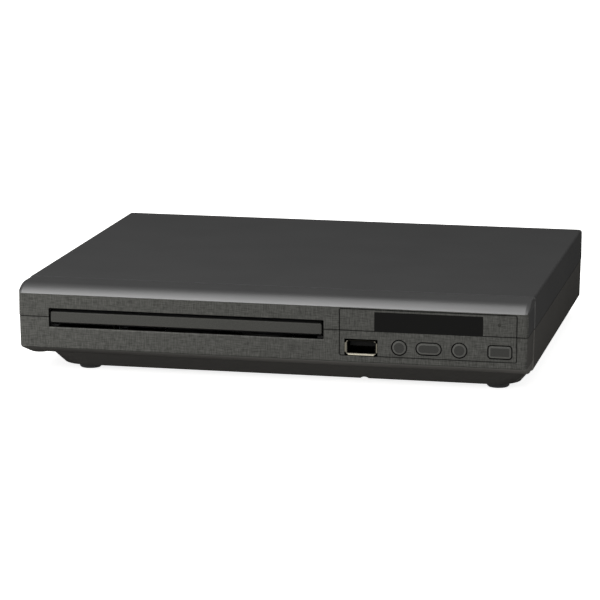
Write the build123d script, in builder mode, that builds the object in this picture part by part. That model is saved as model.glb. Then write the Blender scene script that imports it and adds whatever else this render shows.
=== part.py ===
"""Compact disc player with a motorised tray: a two-shell plastic case round a disc loader.

Millimetres. X runs to the right, Y from the front face to the back, Z up. The origin is on the
surface that the feet stand on, under the middle of the case.
"""
import os
from math import atan, cos, degrees, pi, radians, sin, tan

from build123d import *

# Tray and loader frame, which set the size of the case with the bays round them
TRAY_W = 122.0
TRAY_LEN = 159.4
DOOR_SET = 0.1
DOOR_T = 2.4
FRAME_WALL = 2.4
FRAME_IN = TRAY_W / 2 + 0.5
FRAME_OUT = FRAME_IN + FRAME_WALL

# Case
LEFT_BAY = 11.7
CONTROL_BAY = 86.5
POWER_BAY = 30.1
CASE_W = LEFT_BAY + 2 * FRAME_OUT + CONTROL_BAY
CASE_D = DOOR_SET + DOOR_T + TRAY_LEN + POWER_BAY
FOOT_H = 2.1
PAN_H = 5.9
BEVEL_H = 4.3
LOWER_FACE_H = 14.0
UPPER_FACE_H = 10.2
NOSE_H = 4.0
WALL = 2.0
FLOOR_T = 2.3
CORNER_R = 2.0
TOP_EDGE_R = 1.2
LOW_EDGE_R = 0.8
FRONT_STEP = 0.3
FRONT_EDGE_R = 0.6
BEVEL_EDGE_R = 1.6
BEVEL_D = 12.5
NOSE_D = 19.5
NOSE_STEP = 0.3
NOSE_SAG = 1.2
NOSE_SLOPE = 0.75
NOSE_SAG_D = 6.0
SHELL_STEP = 0.15
SEAM_BREAK = 0.2
DRAFT = 1.2
GROOVE_W = 0.5
GROOVE_DEEP = 0.35

# Base pan, measured in from the case's own sides
PAN_LEFT = 9.5
PAN_RIGHT = 1.9
PAN_BACK = 6.0
PAN_SLOPE_LEFT = 4.7
PAN_SLOPE_RIGHT = 4.7
PAN_SLOPE = 3.0
PAN_CORNER_R = 9.0
PAN_LOW_R = 11.1

# Heights of the case's own levels
Z_PAN = FOOT_H
Z_BOTTOM = Z_PAN + PAN_H
Z_FACE_LOW = Z_BOTTOM + BEVEL_H
Z_SEAM = Z_FACE_LOW + LOWER_FACE_H
Z_FACE_TOP = Z_SEAM + UPPER_FACE_H
Z_TOP = Z_FACE_TOP + NOSE_H
Z_FLOOR = Z_PAN + FLOOR_T
FRONT = -CASE_D / 2
BACK = CASE_D / 2
SIDE = CASE_W / 2

# Feet
FOOT_R = 4.9
FOOT_LEFT_X = -SIDE + 26.8
FOOT_RIGHT_X = SIDE - 16.0
FOOT_FRONT_Y = FRONT + 22.4
FOOT_BACK_Y = BACK - 24.0
FOOT_PEG_R = 2.0

# Clearances
GAP = 0.3
RUN_FIT = 0.05
SLIDE_FIT = 0.2

# Disc and tray
DISC_R = 60.0
DISC_T = 1.2
SMALL_DISC_R = 40.0
RECESS_GAP = 0.3
RECESS_DEEP = 2.4
SMALL_RECESS_DEEP = 0.6
TRAY_X = -SIDE + LEFT_BAY + FRAME_OUT
TRAY_H = 6.7
TRAY_FLOOR = 1.6
TRAY_SKIRT = 2.0
TRAY_TRAVEL = 126.0
TRAY_NOTCH_W = 26.0
DOOR_W = TRAY_W - 0.7
DOOR_H = 4.9
DOOR_CORNER_R = 0.9
DOOR_EDGE = 0.45
SLOT_W = TRAY_W + 1.0
SLOT_H = 8.5
SLOT_BELOW = 2.1
SLOT_CORNER_R = 0.6
Z_SLOT = Z_SEAM - 4.5
Z_DOOR = Z_SLOT + SLOT_BELOW
Z_TRAY = Z_SLOT + 0.9
Z_TRAY_TOP = Z_TRAY + TRAY_H
Z_RECESS = Z_TRAY_TOP - RECESS_DEEP
Z_TRAY_UNDER = Z_RECESS - TRAY_FLOOR
TRAY_FRONT = FRONT + DOOR_SET + DOOR_T
TRAY_BACK = TRAY_FRONT + TRAY_LEN
SPINDLE_Y = FRONT + 66.0

# Deck that lifts the spindle and the pickup
DECK_LIFT = 8.0
DECK_HALF_W = 42.0
DECK_T = 1.2
DECK_FRONT = SPINDLE_Y - 24.0
DECK_BACK = SPINDLE_Y + 86.0
HUB_H = 2.2
HUB_R = 7.4
TURN_R = 15.0
TURN_T = 1.6
SPIN_MOTOR_R = 12.0
SPIN_MOTOR_H = 5.4
SHAFT_R = 1.0
Z_SEAT = Z_RECESS + 1.0 - DECK_LIFT
Z_MOTOR_TOP = Z_SEAT - TURN_T - 0.4
Z_DECK_TOP = Z_MOTOR_TOP - SPIN_MOTOR_H
Z_DECK = Z_DECK_TOP - DECK_T
WINDOW_LEFT = 24.0
WINDOW_RIGHT = 33.5
WINDOW_FRONT = SPINDLE_Y + 13.0
WINDOW_BACK = SPINDLE_Y + 81.0
OPENING_FRONT = SPINDLE_Y - 20.0
OPENING_BACK = WINDOW_BACK + 4.5
OPENING_R = 4.0

# Pickup sled, its rods and its screw
ROD_R = 1.5
ROD_X = 19.0
ROD_Z = Z_DECK_TOP + 1.6
HOLDER_T = 3.0
SLED_HALF_W = 22.4
SLED_LEN = 30.0
SLED_LOW = 5.2
SLED_HIGH = 4.8
SLED_TRAVEL = 34.0
LENS_FROM_FRONT = 9.0
LENS_R = 3.4
SLED_FRONT = SPINDLE_Y + 14.5
SCREW_X = 27.5
SCREW_R = 1.25
SCREW_Z = Z_DECK
SCREW_LEAD = 3.0
SLED_MOTOR_R = 4.0
SLED_MOTOR_LEN = 14.0
SLED_MOTOR_BACK = SPINDLE_Y - 3.5

# Cam slide that raises the deck
PIN_R = 1.2
PIN_FRONT_Y = SPINDLE_Y - 18.0
PIN_BACK_Y = SPINDLE_Y + 64.0
PIN_Z = Z_DECK + DECK_T / 2
CAM_RATIO = 2.0
CAM_TRAVEL = DECK_LIFT * CAM_RATIO
CAM_T = 1.6
CAM_GAP = 1.2
CAM_IN = DECK_HALF_W + CAM_GAP
CAM_OUT = CAM_IN + CAM_T
CAM_BAR_D = 8.0
CAM_BAR_H = 1.4
CAM_END = 3.0
RUNNER_H = 0.5
Z_CAM = Z_FLOOR + RUNNER_H + GAP
Z_BELOW_TRAY = Z_TRAY - 0.5

# Loader frame
FRAME_FLOOR = 1.6
FRAME_BACK = TRAY_BACK + 4.0
FRAME_FRONT = FRONT + WALL + 2.0
FRAME_FLOOR_FRONT = FRONT + 12.5
Z_FRAME = Z_BOTTOM + WALL + 0.9
Z_FRAME_FLOOR = Z_FRAME + FRAME_FLOOR
Z_FRAME_TOP = Z_TRAY_TOP + GAP + 1.1
LEDGE_IN = 3.0
LEDGE_T = 1.6
RIB_IN = CAM_OUT + 0.8
RIB_T = 1.6
RIB_LOW = Z_FLOOR + 1.6
TAB_LEN = 12.0
TAB_OVER = 2.0
DECK_BAY_FRONT = DECK_FRONT - 1.5
DECK_BAY_BACK = DECK_BACK + 2.0

# Clamp over the disc
BRIDGE_T = 1.2
BRIDGE_D = 44.0
BRIDGE_EAR = 4.8
BRIDGE_HOLE_R = 13.0
PUCK_R = 12.6
PUCK_FLANGE_R = 15.0
PUCK_FLANGE_T = 1.4
PUCK_RECESS_R = 8.2
Z_BRIDGE_TOP = Z_FRAME_TOP + BRIDGE_T
Z_PUCK = Z_FRAME_TOP - 0.4
Z_PUCK_FLANGE = Z_BRIDGE_TOP + GAP
EAR_R = 3.0

# Tray drive: rack, pinion, pulley gear, belt and motor
RACK_MODULE = 1.0
PINION_TEETH = 14
RACK_THIN = 0.4
TRAIN_MODULE = 0.8
BIG_TEETH = 24
SMALL_TEETH = 12
TRAIN_THIN = 0.34
TOOTH_OUT = 0.8
TOOTH_IN = 1.2
PINION_R = PINION_TEETH * RACK_MODULE / 2
RACK_PITCH = pi * RACK_MODULE
RACK_LINE_X = TRAY_X + TRAY_W / 2 - TRAY_SKIRT - 3.2
DRIVE_X = RACK_LINE_X - PINION_R
DRIVE_Y = FRONT + 16.0
GEAR_DISTANCE = (BIG_TEETH + SMALL_TEETH) * TRAIN_MODULE / 2
PULLEY_X = DRIVE_X - GEAR_DISTANCE
PULLEY_R = 9.5
PULLEY_RIM = 0.7
PULLEY_H = 2.5
PULLEY_FLANGE = 0.4
BELT_W = 1.2
MOTOR_X = TRAY_X - 0.9
MOTOR_Y = FRONT + 30.0
MOTOR_R = 10.0
MOTOR_PULLEY_R = 3.5
MOTOR_SHAFT_R = 0.75
POD_WALL = 2.2
POD_TOP = 1.2
POST_R = 1.5
POST_FOOT_R = 3.0
NECK_R = 2.8
Z_PINION = Z_TRAY + 0.2
Z_PINION_TOP = Z_TRAY_UNDER - GAP
Z_PULLEY_TOP = Z_TRAY - 0.4
Z_PULLEY = Z_PULLEY_TOP - PULLEY_H
Z_POD_TOP = Z_PULLEY - GAP
Z_LOAD_MOTOR_TOP = Z_POD_TOP - POD_TOP
Z_LOAD_MOTOR = Z_CAM + CAM_BAR_H + 0.6
Z_TRAIN = Z_POD_TOP - 3.2
TRAIN_FACE = 2.0

# Control panel on the front face
PANEL_LEFT = SIDE - 82.0
PANEL_RIGHT = SIDE - 5.2
PANEL_TOP_BELOW_EDGE = 0.7
PANEL_BOTTOM_ABOVE_EDGE = 3.0
PANEL_R = 1.0
DISPLAY_LEFT = SIDE - 66.8
DISPLAY_RIGHT = SIDE - 19.7
DISPLAY_H = 8.5
DISPLAY_T = 1.6
DISPLAY_FIT = 0.05
MODULE_D = 6.0
BUTTON_Z = Z_SEAM - 6.7
BUTTON_GAP = 0.55
BUTTON_RIM = 0.8
BUTTON_DROP = 0.45
BUTTON_T = 3.4
BUTTON_TRAVEL = 0.5
FLANGE_T = 0.8
FLANGE_OUT = 0.7
STEM_R = 1.4
ROUND_R = 3.0
ROUND_LEFT_X = SIDE - 55.95
OVAL_X = SIDE - 43.15
OVAL_W = 10.4
OVAL_H = 4.8
ROUND_RIGHT_X = SIDE - 29.9
SQUARE_X = SIDE - 12.4
SQUARE_W = 9.7
SQUARE_H = 5.2
SQUARE_R = 1.1
SWITCH_W = 6.0
SWITCH_D = 3.4
IR_X = SIDE - 12.7
IR_Z = Z_SEAM + 5.2
IR_R = 0.7
IR_BODY_R = 2.6

# USB port
USB_X = SIDE - 72.6
USB_Z = Z_SEAM - 7.4
USB_W = 13.1
USB_H = 5.9
USB_SKIN = 0.35
USB_LEN = 17.0
USB_LIP_W = 14.2
USB_LIP_H = 7.1
USB_LIP_T = 0.8
USB_LIP_END = 0.9
USB_TOP_BACK = 1.5
USB_FLARE = 0.5
USB_HOLE_GAP = 0.2
USB_TONGUE_W = 11.0
USB_TONGUE_T = 1.85
USB_TONGUE_LEN = 8.6
USB_BLOCK_D = 4.0

# Boards
BOARD_T = 1.6
Z_MAIN = USB_Z - USB_H / 2 - BOARD_T
Z_MAIN_TOP = Z_MAIN + BOARD_T
MAIN_LEFT = SIDE - 80.5
MAIN_RIGHT = SIDE - 4.5
MAIN_FRONT = FRONT + 8.0
MAIN_BACK = BACK - 12.0
MAIN_BOSS_LEFT = SIDE - 75.0
MAIN_BOSS_RIGHT = SIDE - 15.5
MAIN_BOSS_FRONT = FRONT + 38.0
MAIN_BOSS_BACK = BACK - 44.0
FRONT_BOARD_Y = FRONT + WALL + MODULE_D + 2.2
FRONT_BOARD_TOP = Z_FACE_TOP - 1.0
POWER_LEFT = -SIDE + 16.5
POWER_RIGHT = TRAY_X + 61.1
POWER_FRONT = FRAME_BACK + 2.0
POWER_BACK = BACK - WALL - 1.4
Z_POWER = Z_FRAME
MAIN_MID_X = (MAIN_LEFT + MAIN_RIGHT) / 2
MAIN_MID_Y = (MAIN_FRONT + MAIN_BACK) / 2
CHIPS = [(-4.5, -6.0, 20.0, 20.0, 1.6), (-4.5, 24.0, 10.0, 18.0, 1.2),
         (15.5, -18.0, 12.0, 9.0, 1.4), (-22.5, 22.0, 8.0, 8.0, 1.2)]
SMALL_CAP_R = 3.2
SMALL_CAP_H = 9.0
SMALL_CAPS = [(17.5, 10.0), (17.5, 20.0), (-22.5, -28.0), (-14.5, 46.0)]
LARGE_CAP_R = 5.0
LARGE_CAP_H = 18.0
LARGE_CAPS = [26.0, 14.0]
TRANSFORMER_W = 20.0
TRANSFORMER_X = TRAY_X + 3.1
BOSS_R = 3.0
PILOT_R = 1.2
SCREW_SHANK_R = 1.2
SCREW_HOLE_R = 1.5
SCREW_HEAD_R = 2.7
SCREW_HEAD_H = 1.8
SCREW_SOCKET = 0.9
THREAD_LEN = 6.0

# Case screws
CASE_BOSS_R = 4.2
CASE_SINK_R = 3.1
CASE_SEAT_BELOW_SEAM = 6.0
NOTCH_X = SIDE - 73.7
NOTCH_SCREW_Y = FRONT + 21.8
NOTCH_R = 2.6
NOTCH_DEEP = 0.7
CASE_SCREWS = [(-SIDE + 6.6, FRONT + 12.5), (-SIDE + 6.6, BACK - 7.0), (SIDE - 6.6, BACK - 7.0),
               (NOTCH_X, NOTCH_SCREW_Y)]

# Loader screws sit in the frame's floor strips
STRIP_X = (RIB_IN + RIB_T + FRAME_OUT) / 2
LOADER_SCREWS = [(TRAY_X - STRIP_X + 2.2, FRONT + 32.0), (TRAY_X + STRIP_X, FRONT + 36.0),
                 (TRAY_X - STRIP_X + 2.2, FRAME_BACK - 6.9), (TRAY_X + STRIP_X, FRAME_BACK - 6.9)]

# Jacks in a recessed panel at the back
PANEL_X = SIDE - 47.5
PANEL_W = 66.0
PANEL_H = 15.0
PANEL_DEEP = 9.0
PANEL_T = 1.2
PANEL_LIP = 1.6
Z_PANEL = Z_MAIN_TOP + 0.6
RCA_R = 4.15
RCA_LEN = 8.0
RCA_PITCH = 13.0
RCA_BORE_R = 3.4
RCA_CORE_R = 1.6
RCA_FIRST_X = SIDE - 70.5
RCA_BODY_W = 11.0
RCA_BODY_D = 11.0
RCA_BODY_H = 12.0
RCA_Z = Z_MAIN_TOP + 7.0
HDMI_X = SIDE - 25.5
HDMI_W = 15.0
HDMI_H = 5.5
HDMI_LEN = 11.5
HDMI_SKIN = 0.4

# Cord gland, with no cord
GLAND_X = -SIDE + 28.5
GLAND_Z = Z_BOTTOM + 11.5
GLAND_R = 5.0
GLAND_FLANGE_R = 6.4
GLAND_FLANGE_T = 1.6
GLAND_BORE_R = 2.4
GLAND_LEN = 8.0

# Air slots
VENT_W = 1.6
VENT_LEN = 14.0
VENT_PITCH = 4.0
VENT_COUNT = 12


def plan_block(width, depth, radius, low, high, x=0.0, y=0.0):
    """Upright block with rounded corners, as a private solid."""
    with BuildPart(mode=Mode.PRIVATE) as block:
        with BuildSketch(Plane.XY.offset(low)):
            with Locations((x, y)):
                RectangleRounded(width, depth, radius)
        extrude(amount=high - low)
    return block.part


def span_block(x_low, x_high, y_low, y_high, z_low, z_high):
    """Plain block between two corners, as a private solid."""
    with BuildPart(mode=Mode.PRIVATE) as block:
        with Locations(((x_low + x_high) / 2, (y_low + y_high) / 2, (z_low + z_high) / 2)):
            Box(x_high - x_low, y_high - y_low, z_high - z_low)
    return block.part


def upright(radius, low, high, spots):
    """Upright cylinders at a list of (x, y) spots, as a private part."""
    with BuildPart(mode=Mode.PRIVATE) as cylinders:
        with BuildSketch(Plane.XY.offset(low)):
            with Locations(*spots):
                Circle(radius)
        extrude(amount=high - low)
    return cylinders.part


def side_profile(points, half_width, curve=None):
    """Solid with a given outline in Y and Z, straight through from side to side."""
    with BuildPart(mode=Mode.PRIVATE) as body:
        with BuildSketch(Plane.YZ):
            with BuildLine():
                Polyline(*points, close=curve is None)
                if curve:
                    Spline(*curve[0], tangents=curve[1])
            make_face()
        extrude(amount=half_width, both=True)
    return body.part


def pan_body(inset, low, high):
    """Tapered base pan, drawn in by the inset on every side."""
    left = -SIDE + PAN_LEFT + inset
    right = SIDE - PAN_RIGHT - inset
    front = FRONT + BEVEL_D + inset
    back = BACK - PAN_BACK - inset
    with BuildPart(mode=Mode.PRIVATE) as pan:
        with BuildSketch(Plane.XY.offset(high)):
            with Locations(((left + right) / 2, (front + back) / 2)):
                RectangleRounded(right - left, back - front, PAN_CORNER_R - inset)
        with BuildSketch(Plane.XY.offset(low)):
            low_left = left + PAN_SLOPE_LEFT
            low_right = right - PAN_SLOPE_RIGHT
            low_front = front + PAN_SLOPE
            low_back = back - PAN_SLOPE
            with Locations(((low_left + low_right) / 2, (low_front + low_back) / 2)):
                RectangleRounded(low_right - low_left, low_back - low_front,
                                 PAN_LOW_R - inset)
        loft(ruled=True)
    return pan.part


def gear_points(teeth, module, thin, phase=0.0):
    """Outline of a spur gear with straight flanks, thinned for backlash."""
    pitch = teeth * module / 2
    half = pi * module / 4 - thin / 2
    steps = [(pitch - TOOTH_IN * module, half), (pitch, half),
             (pitch + TOOTH_OUT * module, half - TOOTH_OUT * module * tan(radians(25)))]
    points = []
    for tooth in range(teeth):
        middle = radians(phase) + 2 * pi * tooth / teeth
        for side in (-1, 1):
            for radius, width in steps[::-side]:
                turn = middle + side * width / radius
                points.append((radius * cos(turn), radius * sin(turn)))
    return points


def front_rect(width, height, radius, x, z, y_low, y_high):
    """Block through the front wall with rounded corners in X and Z, as a private solid."""
    with BuildPart(mode=Mode.PRIVATE) as block:
        with BuildSketch(Plane.XZ.offset(-y_low)):
            with Locations((x, z)):
                if radius > 0:
                    RectangleRounded(width, height, radius)
                else:
                    Rectangle(width, height)
        extrude(amount=-(y_high - y_low))
    return block.part


def front_round(radius, x, z, y_low, y_high):
    """Cylinder along Y, as a private solid."""
    with BuildPart(mode=Mode.PRIVATE) as rod:
        with BuildSketch(Plane.XZ.offset(-y_low)):
            with Locations((x, z)):
                Circle(radius)
        extrude(amount=-(y_high - y_low))
    return rod.part


def save(builder, name):
    """Label a finished piece and write it."""
    builder.part.label = name
    export_step(builder.part, "parts/" + name + ".step")


os.makedirs("parts", exist_ok=True)

# Shared cutters for both shells
panel_low = Z_FACE_LOW + PANEL_BOTTOM_ABOVE_EDGE
panel_high = Z_FACE_TOP - PANEL_TOP_BELOW_EDGE
panel_x = (PANEL_LEFT + PANEL_RIGHT) / 2
panel_z = (panel_low + panel_high) / 2
panel_w = PANEL_RIGHT - PANEL_LEFT
panel_h = panel_high - panel_low
groove_end = FRONT + SHELL_STEP + LOWER_FACE_H * tan(radians(DRAFT)) + GROOVE_DEEP
with BuildPart() as panel_groove:
    add(front_rect(panel_w + GROOVE_W, panel_h + GROOVE_W, PANEL_R, panel_x, panel_z,
                   FRONT - 1, groove_end))
    add(front_rect(panel_w - GROOVE_W, panel_h - GROOVE_W, PANEL_R - GROOVE_W, panel_x, panel_z,
                   FRONT - 2, FRONT + 2), mode=Mode.SUBTRACT)
tray_slot = front_rect(SLOT_W, SLOT_H, SLOT_CORNER_R, TRAY_X, Z_SLOT + SLOT_H / 2,
                       FRONT - 1, FRONT + WALL + 2)
z_panel_mid = Z_PANEL + PANEL_H / 2
jack_window = front_rect(PANEL_W, PANEL_H, 0, PANEL_X, z_panel_mid, BACK - WALL - 2, BACK + 1)
gland_hole = front_round(GLAND_R + RUN_FIT, GLAND_X, GLAND_Z, BACK - WALL - 2, BACK + 1)

# Upper shell: a front section with a rounded nose, set in a little from the body behind it
front_back = FRONT + NOSE_D
nose_start = (front_back, Z_TOP - FRONT_STEP)
nose_middle = (FRONT + NOSE_SAG_D, Z_TOP - NOSE_SAG)
nose_end = (FRONT + NOSE_STEP, Z_FACE_TOP)
with BuildPart() as top_case:
    add(plan_block(CASE_W - 2 * FRONT_STEP, CASE_D, CORNER_R, Z_SEAM, Z_TOP - FRONT_STEP))
    fillet(top_case.faces().sort_by(Axis.Z)[-1].edges(), FRONT_EDGE_R)
    add(side_profile([nose_end, (FRONT, Z_FACE_TOP), (FRONT, Z_SEAM), (front_back + 1, Z_SEAM),
                      (front_back + 1, Z_TOP - FRONT_STEP), nose_start], SIDE + 1,
                     ((nose_start, nose_middle, nose_end), ((-1, 0), (-1, -NOSE_SLOPE)))),
        mode=Mode.INTERSECT)
    chamfer(top_case.faces().sort_by(Axis.Z)[0].edges(), SEAM_BREAK)
    with BuildPart(mode=Mode.PRIVATE) as top_body:
        add(plan_block(CASE_W, CASE_D, CORNER_R, Z_SEAM, Z_TOP))
        fillet(top_body.faces().sort_by(Axis.Z)[-1].edges(), TOP_EDGE_R)
        chamfer(top_body.faces().sort_by(Axis.Z)[0].edges(), SEAM_BREAK)
        add(span_block(-SIDE, SIDE, front_back, BACK, Z_SEAM, Z_TOP), mode=Mode.INTERSECT)
    add(top_body.part)
    with BuildPart(mode=Mode.PRIVATE) as top_cavity:
        add(plan_block(CASE_W - 2 * WALL, CASE_D - 2 * WALL, CORNER_R, Z_SEAM - 1, Z_TOP - WALL))
        add(side_profile([(FRONT + WALL, Z_SEAM - 1), (BACK - WALL, Z_SEAM - 1),
                          (BACK - WALL, Z_TOP - WALL), (FRONT + NOSE_D, Z_TOP - WALL),
                          (FRONT + NOSE_SAG_D + 1, Z_TOP - WALL - NOSE_SAG),
                          (FRONT + WALL, Z_FACE_TOP - 0.4)], SIDE), mode=Mode.INTERSECT)
    add(top_cavity.part, mode=Mode.SUBTRACT)
    add(upright(CASE_BOSS_R, Z_SEAM, Z_TOP - WALL + 0.5, CASE_SCREWS))
    add(upright(PILOT_R, Z_SEAM - 1, Z_SEAM + THREAD_LEN + 1, CASE_SCREWS), mode=Mode.SUBTRACT)
    add(tray_slot, mode=Mode.SUBTRACT)
    add(panel_groove.part, mode=Mode.SUBTRACT)
    add(jack_window, mode=Mode.SUBTRACT)
    display_x = (DISPLAY_LEFT + DISPLAY_RIGHT) / 2
    display_w = DISPLAY_RIGHT - DISPLAY_LEFT
    add(span_block(DISPLAY_LEFT, DISPLAY_RIGHT, FRONT - 1, FRONT + WALL + 1,
                   Z_SEAM - 1, Z_SEAM + DISPLAY_H), mode=Mode.SUBTRACT)
    add(front_round(IR_R, IR_X, IR_Z, FRONT - 1, FRONT + WALL + 1), mode=Mode.SUBTRACT)
    with BuildSketch(Plane.XZ.offset(-(BACK - WALL - 1))):
        with Locations((TRAY_X + 7.1, Z_SEAM + UPPER_FACE_H / 2)):
            with GridLocations(VENT_PITCH, 1, VENT_COUNT, 1):
                Rectangle(VENT_W, UPPER_FACE_H - 3)
    extrude(amount=-(WALL + 2), mode=Mode.SUBTRACT)
save(top_case, "top_case")

# Lower shell with its base pan
low_w = CASE_W - 2 * SHELL_STEP
low_d = CASE_D - 2 * SHELL_STEP
case_boss_top = Z_SEAM - CASE_SEAT_BELOW_SEAM
seam_plane = Plane(origin=(0, 0, Z_SEAM), x_dir=(1, 0, 0), z_dir=(0, 0, -1))
with BuildPart() as bottom_case:
    with BuildSketch(seam_plane):
        RectangleRounded(low_w - 2 * FRONT_STEP, low_d, CORNER_R)
    extrude(amount=Z_SEAM - Z_BOTTOM, taper=DRAFT)
    add(side_profile([(FRONT - 1, Z_SEAM), (FRONT - 1, Z_FACE_LOW + BEVEL_H / BEVEL_D),
                      (FRONT + BEVEL_D, Z_BOTTOM), (front_back + 1, Z_BOTTOM), (front_back + 1, Z_SEAM)],
                     SIDE + 1), mode=Mode.INTERSECT)
    fillet(bottom_case.edges().filter_by(lambda edge: abs(edge.center().X) > SIDE - 3
                                         and edge.center().Z < Z_FACE_LOW - 1
                                         and edge.center().Y > FRONT + 1), BEVEL_EDGE_R)
    chamfer(bottom_case.faces().sort_by(Axis.Z)[-1].edges(), SEAM_BREAK)
    with BuildPart(mode=Mode.PRIVATE) as low_body:
        with BuildSketch(seam_plane):
            RectangleRounded(low_w, low_d, CORNER_R)
        extrude(amount=Z_SEAM - Z_BOTTOM, taper=DRAFT)
        fillet(low_body.faces().sort_by(Axis.Z)[0].edges(), LOW_EDGE_R)
        chamfer(low_body.faces().sort_by(Axis.Z)[-1].edges(), SEAM_BREAK)
        add(span_block(-SIDE, SIDE, front_back, BACK, Z_BOTTOM, Z_SEAM), mode=Mode.INTERSECT)
    add(low_body.part)
    add(pan_body(0, Z_PAN, Z_BOTTOM))
    with BuildPart(mode=Mode.PRIVATE) as low_cavity:
        with BuildSketch(Plane(origin=(0, 0, Z_SEAM + 1), x_dir=(1, 0, 0), z_dir=(0, 0, -1))):
            RectangleRounded(low_w - 2 * WALL, low_d - 2 * WALL, CORNER_R)
        extrude(amount=Z_SEAM + 1 - Z_BOTTOM - WALL, taper=DRAFT)
        add(side_profile([(FRONT - 1, Z_SEAM + 2), (FRONT - 1, Z_FACE_LOW + WALL + BEVEL_H / BEVEL_D),
                          (FRONT + BEVEL_D, Z_BOTTOM + WALL), (BACK + 1, Z_BOTTOM + WALL),
                          (BACK + 1, Z_SEAM + 2)], SIDE + 1), mode=Mode.INTERSECT)
        add(pan_body(WALL, Z_FLOOR, Z_BOTTOM + WALL))
    add(low_cavity.part, mode=Mode.SUBTRACT)
    add(tray_slot, mode=Mode.SUBTRACT)
    add(panel_groove.part, mode=Mode.SUBTRACT)
    add(jack_window, mode=Mode.SUBTRACT)
    add(gland_hole, mode=Mode.SUBTRACT)
    # Holes for the buttons and the port
    for x in (ROUND_LEFT_X, ROUND_RIGHT_X):
        add(front_round(ROUND_R + BUTTON_GAP, x, BUTTON_Z, FRONT - 1, FRONT + WALL + 1),
            mode=Mode.SUBTRACT)
    add(front_rect(OVAL_W + 2 * BUTTON_GAP, OVAL_H + 2 * BUTTON_GAP, OVAL_H / 2 + BUTTON_GAP - 0.01,
                   OVAL_X, BUTTON_Z, FRONT - 1, FRONT + WALL + 1), mode=Mode.SUBTRACT)
    add(front_rect(SQUARE_W + 2 * BUTTON_GAP, SQUARE_H + 2 * BUTTON_GAP, SQUARE_R + BUTTON_GAP,
                   SQUARE_X, BUTTON_Z, FRONT - 1, FRONT + WALL + 1), mode=Mode.SUBTRACT)
    add(front_rect(USB_LIP_W + 2 * USB_HOLE_GAP, USB_LIP_H + 2 * USB_HOLE_GAP, 0,
                   USB_X, USB_Z, FRONT - 1, FRONT + WALL + 1), mode=Mode.SUBTRACT)
    # Bosses: case screws, loader frame, main board, power board
    add(upright(CASE_BOSS_R, Z_FLOOR - 0.5, Z_SEAM, CASE_SCREWS[3:]))
    add(upright(CASE_BOSS_R, Z_BOTTOM + 0.5, Z_SEAM, CASE_SCREWS[:3]))
    add(upright(CASE_SINK_R, 0, case_boss_top, CASE_SCREWS), mode=Mode.SUBTRACT)
    add(upright(SCREW_HOLE_R, 0, Z_SEAM + 1, CASE_SCREWS), mode=Mode.SUBTRACT)
    add(upright(BOSS_R, Z_FLOOR - 0.5, Z_FRAME, LOADER_SCREWS))
    main_spots = [(x, y) for x in (MAIN_BOSS_LEFT, MAIN_BOSS_RIGHT)
                  for y in (MAIN_BOSS_FRONT, MAIN_BOSS_BACK)]
    add(upright(BOSS_R, Z_FLOOR - 0.5, Z_MAIN, main_spots))
    power_spots = [(x, (POWER_FRONT + POWER_BACK) / 2 - 4.0) for x in (POWER_LEFT + 14, POWER_RIGHT - 4)]
    add(upright(BOSS_R, Z_FLOOR - 0.5, Z_POWER, power_spots))
    add(upright(PILOT_R, Z_FRAME - THREAD_LEN, Z_MAIN + 1, LOADER_SCREWS + power_spots),
        mode=Mode.SUBTRACT)
    add(upright(PILOT_R, Z_MAIN - THREAD_LEN, Z_MAIN + 1, main_spots), mode=Mode.SUBTRACT)
    # Notch that leads from the front edge of the pan to the fourth screw
    add(front_round(NOTCH_R, NOTCH_X, Z_PAN + NOTCH_DEEP - NOTCH_R, FRONT + BEVEL_D, NOTCH_SCREW_Y),
        mode=Mode.SUBTRACT)
    # Runners that the cam slide glides on
    for x in (TRAY_X - CAM_IN - CAM_T / 2, TRAY_X + CAM_IN + CAM_T / 2):
        add(span_block(x - 1.5, x + 1.5, PIN_FRONT_Y - CAM_END - CAM_TRAVEL, PIN_BACK_Y + CAM_TRAVEL,
                       Z_FLOOR - 0.5, Z_FLOOR + RUNNER_H))
    # Foot sockets and air slots in the base
    foot_spots = [(x, y) for x in (FOOT_LEFT_X, FOOT_RIGHT_X) for y in (FOOT_FRONT_Y, FOOT_BACK_Y)]
    add(upright(FOOT_PEG_R, Z_PAN - 1, Z_FLOOR + 1, foot_spots), mode=Mode.SUBTRACT)
    with BuildSketch(Plane.XY.offset(Z_PAN - 1)):
        with Locations((SIDE - 42.5, 0)):
            with GridLocations(VENT_PITCH, 1, VENT_COUNT, 1):
                SlotOverall(VENT_LEN, VENT_W, rotation=90)
    extrude(amount=FLOOR_T + 2, mode=Mode.SUBTRACT)
save(bottom_case, "bottom_case")

# Rubber feet with a peg up into the base
with BuildPart() as rubber_feet:
    with BuildSketch(Plane.XY):
        with Locations(*foot_spots):
            Circle(FOOT_R)
    extrude(amount=FOOT_H)
    chamfer(rubber_feet.edges().group_by(Axis.Z)[0], 0.5)
    add(upright(FOOT_PEG_R, FOOT_H, Z_FLOOR + 0.4, foot_spots))
save(rubber_feet, "rubber_feet")


def screw_set(spots, seat, length, head_down=False):
    """Pan-head screws with a cross socket, heads up unless they enter from below."""
    sign = -1 if head_down else 1
    with BuildPart(mode=Mode.PRIVATE) as screws:
        with BuildSketch(Plane.XY.offset(seat)):
            with Locations(*spots):
                Circle(SCREW_HEAD_R)
        extrude(amount=sign * SCREW_HEAD_H)
        with BuildSketch(Plane.XY.offset(seat)):
            with Locations(*spots):
                Circle(SCREW_SHANK_R)
        extrude(amount=-sign * length)
        with BuildSketch(Plane.XY.offset(seat + sign * SCREW_HEAD_H)):
            with Locations(*spots):
                Rectangle(SCREW_HEAD_R * 1.1, 0.6)
                Rectangle(0.6, SCREW_HEAD_R * 1.1)
        extrude(amount=-sign * SCREW_SOCKET, mode=Mode.SUBTRACT)
    return screws.part


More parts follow.
